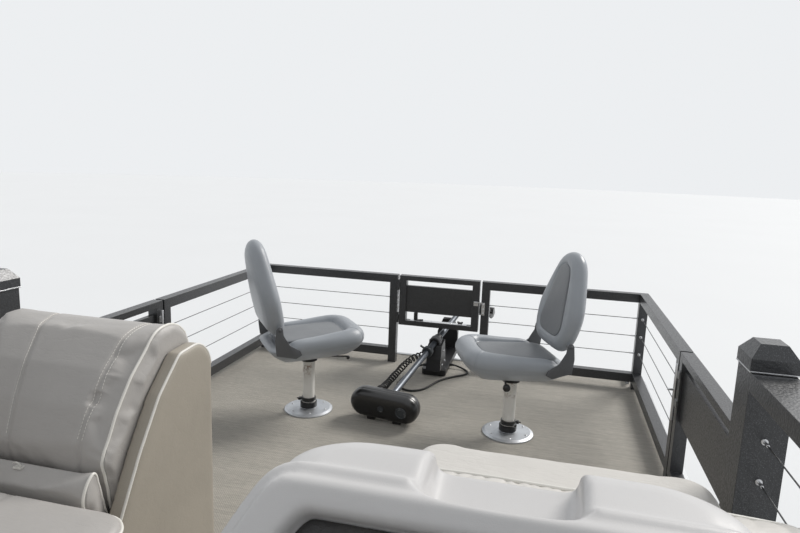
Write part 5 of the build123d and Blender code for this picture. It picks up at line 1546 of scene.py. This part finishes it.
class PONTOON_OT_helm(Piece, bpy.types.Operator):
    """Console, dash with its gauges and switches, throttle, wheel hub and the helm chair's cushions"""

    bl_idname = "pontoon.helm"
    bl_label = "Helm"

    def execute(self, context):
        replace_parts(console_skin(), "console_cowl")
        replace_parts(console_box(), "console_cabinet")
        dash = dash_matrix()
        board = ringed("board", rings_round(OPENING_ROUND, BOARD_RINGS), (-0.15, 0, 0.001), (-0.15, 0, 0.0125), dash)
        hub = Vector((at(WHEEL_SPOT[0]), CONSOLE_MIDDLE, up(WHEEL_SPOT[1])))
        tilt = math.radians(WHEEL_TILT)
        boss = turned_round("boss", BOSS, hub, (-math.sin(tilt), 0, math.cos(tilt)), 48)
        dash_board = finish(joined("dash_board", [board, boss]), "dash_plastic", "boat")
        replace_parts(dash_board, "console_dash")
        self.gauges(dash)
        self.throttle()
        for name, node in (("helm_seat_cushion", "helm_seat"), ("helm_back_cushion", "helm_back")):
            chair = cushion(name, node, "grey_vinyl", body="helm_chair", voxel=0.013, fine=False)
            low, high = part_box(node)
            for offset in (-0.09, 0.09):
                groove(chair, lambda p: p.y - (low.y + high.y) / 2 - offset, 0.018, 0.005,
                       lambda p, n: n.z > 0.4 or n.x > 0.4)
        return {"FINISHED"}

    def gauges(self, dash):
        """Four round gauges and a row of rocker switches."""
        rims, faces, switches = [], [], []
        normal = dash.to_3x3() @ Vector((0, 0, 1))
        for side, above, radius in GAUGES:
            spot = dash @ Vector((above, side, 0.012))
            rims.append(turned_round("rim", [
                (radius * 0.86, 0), (radius, 0), (radius, 0.005), (radius * 0.97, 0.008), (radius * 0.90, 0.0085),
                (radius * 0.86, 0.005), (radius * 0.86, 0),
            ], spot, normal, 48))
            faces.append(turned_round("face", [
                (0, 0), (radius * 0.87, 0), (radius * 0.87, 0.003), (radius * 0.14, 0.003), (radius * 0.13, 0.006),
                (0, 0.0065),
            ], spot, normal, 48))
        for index in range(6):
            spot = dash @ Vector((-0.200, -0.150 + index * 0.060, 0.0135))
            switch = block("switch", (-0.017, -0.010, -0.004), (0.017, 0.010, 0.007), 0.0025)
            switch.matrix_world = Matrix.Translation(spot) @ dash.to_3x3().to_4x4()
            switches.append(settle(switch, "switch"))
        finish(joined("gauge_rims", rims), "bright_steel", "boat")
        finish(joined("gauge_faces", faces), "black_plastic", "boat")
        finish(joined("dash_switches", switches), "black_plastic", "boat")

    def throttle(self):
        """Side-mounted throttle: base, hub, lever and grip."""
        spot = Vector((at(-3.130), CONSOLE_MIDDLE - 0.262, up(0.560)))
        profile = [(0, 0), (0.052, 0), (0.052, 0.010), (0.046, 0.020), (0.026, 0.026), (0.024, 0.036), (0, 0.038)]
        base = turned_round("base", profile, spot + Vector((0, -0.017, 0)), (0, -1, 0), 40)
        hub = spot + Vector((0, -0.048, 0))
        top = hub + Vector((0.035, -0.004, 0.170))
        lever = rod("lever", hub, top, 0.008, 16, 0.002)
        profile = [(0, -0.020), (0.012, -0.018), (0.017, -0.008), (0.018, 0.010), (0.014, 0.024), (0, 0.030)]
        grip = turned_round("grip", profile, top, (0.1, -0.05, 1), 28)
        finish(joined("throttle", [base, lever, grip]), "black_plastic", "boat")


# Rails and gates

TUBE = 0.050
FENCE_OUTER = 1.240
FENCE_LINE = FENCE_OUTER - TUBE / 2
BOW_LINE = TUBE / 2
BIG_LINE = 1.1892
BIG_HALF = 0.0508
BIG_POSTS = [-2.0648, -5.3408]
CABLE_FIRST, CABLE_STEP = 0.220, 0.107
HINGE_Y = 0.2675
HINGE_KNUCKLES = [0.292, 0.508]
LEAF_LENGTH, LEAF_STEP = 0.022, 0.0345
# columns: where a run of cables meets a post, which way the run goes from there
BOW_ENDS = [(0.321, 1), (FENCE_OUTER - TUBE, -1), (-0.308, -1), (TUBE - FENCE_OUTER, 1)]
FORE_ENDS = [(-1.091, 1), (0.0, -1)]
AFT_ENDS = [(-2.1156, -1), (-3.149, 1), (-3.199, -1), (-4.207, 1), (-4.257, -1), (-5.290, 1)]


def cable_heights(count):
    return [CABLE_FIRST + index * CABLE_STEP for index in range(count)]


def bright(name, parts, body="boat"):
    """Bare steel fittings on the rails, as one piece."""
    return finish(joined(name, parts), "bright_steel", body)


def ferrules(name, spots):
    """Washer and swaged sleeve where a cable enters a post. Columns: x, y, height, heading."""
    parts = []
    for x, y, height, heading in spots:
        start, heading = Vector((at(x), y, up(height))), Vector(heading)
        parts.append(rod("washer", start, start + heading * 0.003, 0.0085, 16, 0.0008))
        parts.append(rod("sleeve", start, start + heading * 0.026, 0.0042, 12, 0.0008))
    return bright(name, parts)


class PONTOON_OT_rails(Piece, bpy.types.Operator):
    """Cable ferrules, hinge leaves, latches and worn cap rims"""

    bl_idname = "pontoon.rails"
    bl_label = "Rails and gates"

    def execute(self, context):
        bow, fore, aft = [], [], []
        for height in cable_heights(3):
            bow += [(BOW_LINE, y, height, (0, turn, 0)) for y, turn in BOW_ENDS]
            for side in (1, -1):
                fore += [(x, side * FENCE_LINE, height, (turn, 0, 0)) for x, turn in FORE_ENDS]
        for height in cable_heights(5):
            for side in (1, -1):
                aft += [(x, side * BIG_LINE, height, (turn, 0, 0)) for x, turn in AFT_ENDS]
        ferrules("ferrules_bow", bow)
        ferrules("ferrules_fore", fore)
        ferrules("ferrules_aft", aft)
        self.hinge()
        self.keeper()
        self.gate_fittings()
        for side, name in ((1, "port"), (-1, "starboard")):
            self.slide_bolt(side, name)
        self.cap_rims()
        return {"FINISHED"}

    def hinge(self):
        """Bright leaves of the bow gate's long hinge, showing in its seam."""
        leaves, y = [], HINGE_Y + 0.0035
        for index in range(9):
            low = 0.266 + index * LEAF_STEP
            high = low + LEAF_LENGTH
            if not any(low < knuckle + 0.019 and high > knuckle - 0.019 for knuckle in HINGE_KNUCKLES):
                leaves.append(rod("leaf", (at(0), y, up(low)), (at(0), y, up(high)), 0.0036, 14, 0.0008))
        bright("gate_hinge_leaves", leaves)

    def keeper(self):
        """Plate and pin on the bow fence that the gate's hook takes."""
        keeper = [block("plate", (at(-0.0035), -0.288, up(0.372)), (at(-0.0003), -0.268, up(0.452)), 0.001),
                  rod("pin", (at(-0.002), -0.278, up(0.442)), (at(-0.016), -0.278, up(0.442)), 0.004, 14)]
        for height in (0.384, 0.410):
            keeper.append(screw_head("screw", (at(-0.0035), -0.278, up(height)), (-1, 0, 0), 0.0042))
        bright("gate_keeper", keeper)

    def gate_fittings(self):
        """Hook, sill bar and clips of the bow gate."""
        hook = [block("base", (at(-0.0035), -0.246, up(0.428)), (at(-0.0003), -0.218, up(0.456)), 0.001),
                block("arm", (at(-0.0085), -0.273, up(0.4475)), (at(-0.0045), -0.224, up(0.4555)), 0.001),
                screw_head("screw", (at(-0.0085), -0.231, up(0.4515)), (-1, 0, 0), 0.0045)]
        bright("gate_hook", hook, "gate_bow")
        bar = [block("bar", (at(0.006), -0.178, up(0.2905)), (at(0.044), 0.190, up(0.2935)), 0.001)]
        for y in (-0.075, 0.045):
            bar.append(turned_round("rivet", [(0, 0.004), (0.003, 0.0035), (0.006, 0.0018), (0.0065, 0), (0, 0)],
                                    (at(0.018), y, up(0.2935)), (0, 0, 1), 20))
        bright("gate_sill_bar", bar, "gate_bow")
        clips = [block("body", (at(0.010), 0.142, up(0.294)), (at(0.034), 0.166, up(0.346)), 0.004),
                 rod("stem", (at(0.022), 0.150, up(0.2945)), (at(0.022), 0.105, up(0.2995)), 0.005, 12),
                 rod("loop", (at(0.016), -0.150, up(0.2995)), (at(0.030), -0.118, up(0.3055)), 0.006, 12, 0.002),
                 rod("tail", (at(0.030), -0.152, up(0.3055)), (at(0.014), -0.124, up(0.2995)), 0.0055, 12, 0.002)]
        finish(joined("gate_clips", clips), "black_plastic", "gate_bow")

    def slide_bolt(self, side, name):
        """Slide bolt inside a side gate, in its two guides."""
        inner = side * (FENCE_LINE - TUBE / 2)
        near, far = sorted((inner, inner - side * 0.006))
        parts = [block("guide", (at(-1.182), near, up(height)), (at(-1.152), far, up(height + 0.030)), 0.001)
                 for height in (0.360, 0.480)]
        x, line = at(-1.167), inner - side * 0.011
        parts.append(rod("bolt", (x, line, up(0.300)), (x, line, up(0.540)), 0.0055, 16))
        parts.append(rod("knob", (x, line, up(0.430)), (x, line - side * 0.028, up(0.430)), 0.0045, 14))
        bright(f"slide_bolt_{name}", parts, f"gate_{name}")

    def cap_rims(self):
        """Bare metal where the coat has worn from the lower edge of the big posts' caps."""
        rims = []
        reach = BIG_HALF + 0.0045
        for x in BIG_POSTS:
            for side in (1, -1):
                for along, across in ((1, 0), (-1, 0), (0, 1), (0, -1)):
                    middle = Vector((at(x) + along * reach, side * BIG_LINE + across * reach, up(0.8238)))
                    half = Vector((0.0007 if along else reach, 0.0007 if across else reach, 0.0018))
                    rims.append(block("rim", middle - half, middle + half, 0.0004))
        bright("cap_rims", rims)


# Bow motor

HEAD_SPOT = Vector((at(-0.868), 0.096, up(0.092)))
MOTOR_SPOT = Vector((at(0.500), -0.092, up(0.296)))
SHAFT_DIRECTION = (MOTOR_SPOT - HEAD_SPOT).normalized()
HEAD_ROUND = [(-0.110, 0, 0.074), (0.110, 0, 0.074)]
# columns: ahead of the head's middle, inset
HEAD_RINGS = [
    (0.0385, 0.052), (0.0380, 0.042), (0.0330, 0.029), (0.0220, 0.0155), (0.0070, 0.0060), (-0.0120, 0.0010),
    (-0.0320, 0), (-0.0335, 0.0016), (-0.0355, 0.0016), (-0.0370, 0), (-0.0560, 0.0025), (-0.0680, 0.0090),
    (-0.0755, 0.0190), (-0.0795, 0.0310), (-0.0805, 0.0420),
]
# columns: radius, place along the shaft
NECK = [
    (0.0175, 0.036), (0.030, 0.036), (0.031, 0.046), (0.026, 0.054), (0.024, 0.072), (0.0195, 0.076),
    (0.0175, 0.076), (0.0175, 0.036),
]
STOP = [
    (0.0175, -0.016), (0.031, -0.016), (0.033, -0.012), (0.033, 0.012), (0.031, 0.016), (0.0175, 0.016),
    (0.0175, -0.016),
]
COLLAR = [
    (0.0305, -0.020), (0.0355, -0.020), (0.0372, -0.016), (0.0372, 0.016), (0.0355, 0.020), (0.0305, 0.020),
    (0.0305, -0.020),
]
STOP_AT, COLLAR_AT = -0.262, -0.116


def shaft_matrix():
    """Place of the head: x across the boat, z along the shaft."""
    across = (Vector((0, 1, 0)) - SHAFT_DIRECTION * SHAFT_DIRECTION.y).normalized()
    return frame_at(HEAD_SPOT, across, SHAFT_DIRECTION.cross(across))


def shaft_place(from_rail):
    share = (at(from_rail) - HEAD_SPOT.x) / (MOTOR_SPOT.x - HEAD_SPOT.x)
    return HEAD_SPOT.lerp(MOTOR_SPOT, share)


class PONTOON_OT_bow_motor(Piece, bpy.types.Operator):
    """Capsule head with its dials, shaft collars, and the mount's fittings"""

    bl_idname = "pontoon.bow_motor"
    bl_label = "Bow motor"

    def execute(self, context):
        self.head(shaft_matrix())
        self.collars()
        self.mount_trim()
        tag = block("cord_tag", (-0.016, -0.0012, -0.026), (0.016, 0.0012, 0.026), 0.0008)
        tag.matrix_world = (Matrix.Translation((at(-0.452), 0.139, up(0.0275)))
                            @ Matrix.Rotation(math.radians(-52), 4, "Z") @ Matrix.Rotation(math.radians(14), 4, "X"))
        finish(settle(tag, "cord_tag"), "tag_plastic", "boat")
        return {"FINISHED"}

    def head(self, level):
        """Capsule head with its dials, on two rests."""
        rings = rings_round(HEAD_ROUND, [(out, -inset) for out, inset in reversed(HEAD_RINGS)], softness=120.0)
        head = finer(ringed("bow_motor_head", rings, (0, 0, -0.0805), (0, 0, 0.0385), level))
        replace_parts(finish(head, "black_plastic", "boat"), "trolling_head")
        back = level.to_3x3() @ Vector((0, 0, -1))
        dials, rests = [], []
        for across, radius in ((-0.104, 0.030), (0.004, 0.016)):
            spot = level @ Vector((across, 0, -0.0795))
            dials.append(turned_round("dial", [
                (0, 0.0030), (radius * 0.62, 0.0030), (radius * 0.66, 0.0016), (radius * 0.80, 0.0016),
                (radius * 0.86, 0.0042), (radius * 0.96, 0.0042), (radius, 0.0020), (radius, -0.001), (0, -0.001),
            ], spot, back, 48))
        finish(joined("bow_motor_dials", dials), "motor_coat", "boat")
        for across in (-0.070, 0.070):
            foot = level @ Vector((across, 0, -0.035))
            rests.append(block("rest", (foot.x - 0.016, foot.y - 0.022, up(0.0007)),
                               (foot.x + 0.016, foot.y + 0.022, up(0.026)), 0.005))
        finish(joined("bow_motor_rests", rests), "black_plastic", "boat")

    def collars(self):
        """Neck under the head, depth stop with its screw, and the collar of the mount."""
        neck = turned_round("neck", NECK, HEAD_SPOT, SHAFT_DIRECTION, 36)
        spot = shaft_place(STOP_AT)
        stop = turned_round("stop", STOP, spot, SHAFT_DIRECTION, 36)
        screw = rod("screw", spot + Vector((0, 0.020, 0.018)), spot + Vector((0, 0.046, 0.034)), 0.006, 14)
        finish(joined("shaft_collars", [neck, screw]), "black_plastic", "boat")
        finish(stop, "motor_coat", "boat")
        spot = shaft_place(COLLAR_AT)
        parts = [turned_round("collar", COLLAR, spot, SHAFT_DIRECTION, 44)]
        for side in (1, -1):
            parts.append(screw_head("collar_bolt", spot + Vector((0, side * 0.035, 0.008)), (0, side, 0.1), 0.006))
        finish(joined("mount_collar", parts), "engine_metal", "boat")

    def mount_trim(self):
        strips = []
        for side in (1, -1):
            y = MOUNT_Y + side * 0.0445
            strips.append(block("strip", (at(-0.172), y - 0.0012, up(0.040)), (at(-0.164), y + 0.0012, up(0.104)),
                                0.0008))
            for x, height in ((-0.120, 0.060), (-0.030, 0.060), (-0.080, 0.140)):
                strips.append(screw_head("mount_bolt", (at(x), y, up(height)), (0, side, 0), 0.0065))
        finish(joined("mount_trim", strips), "bright_steel", "boat")


# Outboard motor

COWL_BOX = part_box("outboard_cowl")
COWL_MIDDLE = (COWL_BOX[0].x + COWL_BOX[1].x) / 2
COWL_ROUND = [(0.150, 0.040, 0.128), (-0.168, 0.045, 0.130)]
# columns: above the motor plate, spread, moved aft
COWL_RINGS = [
    (0.0004, -0.034, 0), (0.006, -0.026, 0), (0.024, -0.012, 0), (0.050, -0.003, 0), (0.054, -0.003, 0),
    (0.0555, -0.0065, 0), (0.0585, -0.0065, 0), (0.060, -0.003, 0), (0.110, -0.001, 0), (0.200, 0, 0),
    (0.290, -0.001, 0), (0.345, -0.006, 0.001), (0.385, -0.015, 0.002), (0.420, -0.030, 0.004),
    (0.444, -0.049, 0.006), (0.458, -0.068, 0.008), (0.464, -0.085, 0.010),
]
# columns: radius, aft of the propeller
NUT = [(0, -0.002), (0.016, -0.002), (0.018, 0.002), (0.018, 0.010), (0.012, 0.012), (0.010, 0.018), (0, 0.019)]


class PONTOON_OT_outboard(Piece, bpy.types.Operator):
    """Smooth cowl with its seal line, rear handle, and the propeller's nut"""

    bl_idname = "pontoon.outboard"
    bl_label = "Outboard motor"

    def execute(self, context):
        low = COWL_BOX[0]
        level = Matrix.Translation((COWL_MIDDLE, 0, low.z))
        rings = rings_round(COWL_ROUND, [(above, spread) for above, spread, aft in COWL_RINGS])
        rings = [[point - Vector((row[2], 0, 0)) for point in ring] for ring, row in zip(rings, COWL_RINGS)]
        rings.append(shrunk(rings[-1], 0.6, 0.4665))
        cowl = finer(ringed("outboard_cowl_skin", rings, (0, 0, 0.0004), (-0.015, 0, 0.468), level))
        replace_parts(finish(cowl, "motor_coat", "outboard_motor"), "outboard_cowl")
        handle = block("handle", (low.x + 0.0006, -0.050, low.z + 0.070), (low.x + 0.012, 0.050, low.z + 0.088),
                       0.004)
        finish(handle, "black_plastic", "outboard_motor")
        low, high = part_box("outboard_propeller")
        spot = Vector((low.x + 0.002, (low.y + high.y) / 2, (low.z + high.z) / 2))
        nut = turned_round("propeller_nut", NUT, spot, (-1, 0, 0), 28)
        finish(nut, "bright_steel", "outboard_propeller")
        return {"FINISHED"}


STEPS = [
    PONTOON_OT_finishes, PONTOON_OT_cords, PONTOON_OT_lounge, PONTOON_OT_benches, PONTOON_OT_fishing_seats,
    PONTOON_OT_helm, PONTOON_OT_rails, PONTOON_OT_bow_motor, PONTOON_OT_outboard, PONTOON_OT_stage,
]


class PONTOON_PT_pieces(bpy.types.Panel):
    """Lists the pieces in the sidebar of the 3D view."""

    bl_idname = "PONTOON_PT_pieces"
    bl_label = "Pontoon boat"
    bl_space_type = "VIEW_3D"
    bl_region_type = "UI"
    bl_category = "Pontoon boat"

    def draw(self, context):
        for step in STEPS:
            self.layout.operator(step.bl_idname)
        for group in (context.scene.pontoon_colours, context.scene.pontoon_sizes):
            for name in group.bl_rna.properties.keys():
                if name not in ("rna_type", "name"):
                    self.layout.prop(group, name)


CLASSES = [PontoonColours, PontoonSizes, *STEPS, PONTOON_PT_pieces]


def register():
    for item in CLASSES:
        bpy.utils.register_class(item)
    bpy.types.Scene.pontoon_colours = bpy.props.PointerProperty(type=PontoonColours)
    bpy.types.Scene.pontoon_sizes = bpy.props.PointerProperty(type=PontoonSizes)


def unregister():
    del bpy.types.Scene.pontoon_sizes
    del bpy.types.Scene.pontoon_colours
    for item in reversed(CLASSES):
        bpy.utils.unregister_class(item)


def main():
    register()
    make_camera()
    for step in STEPS:
        getattr(bpy.ops.pontoon, step.bl_idname.split(".")[1])()


if __name__ == "__main__":
    main()
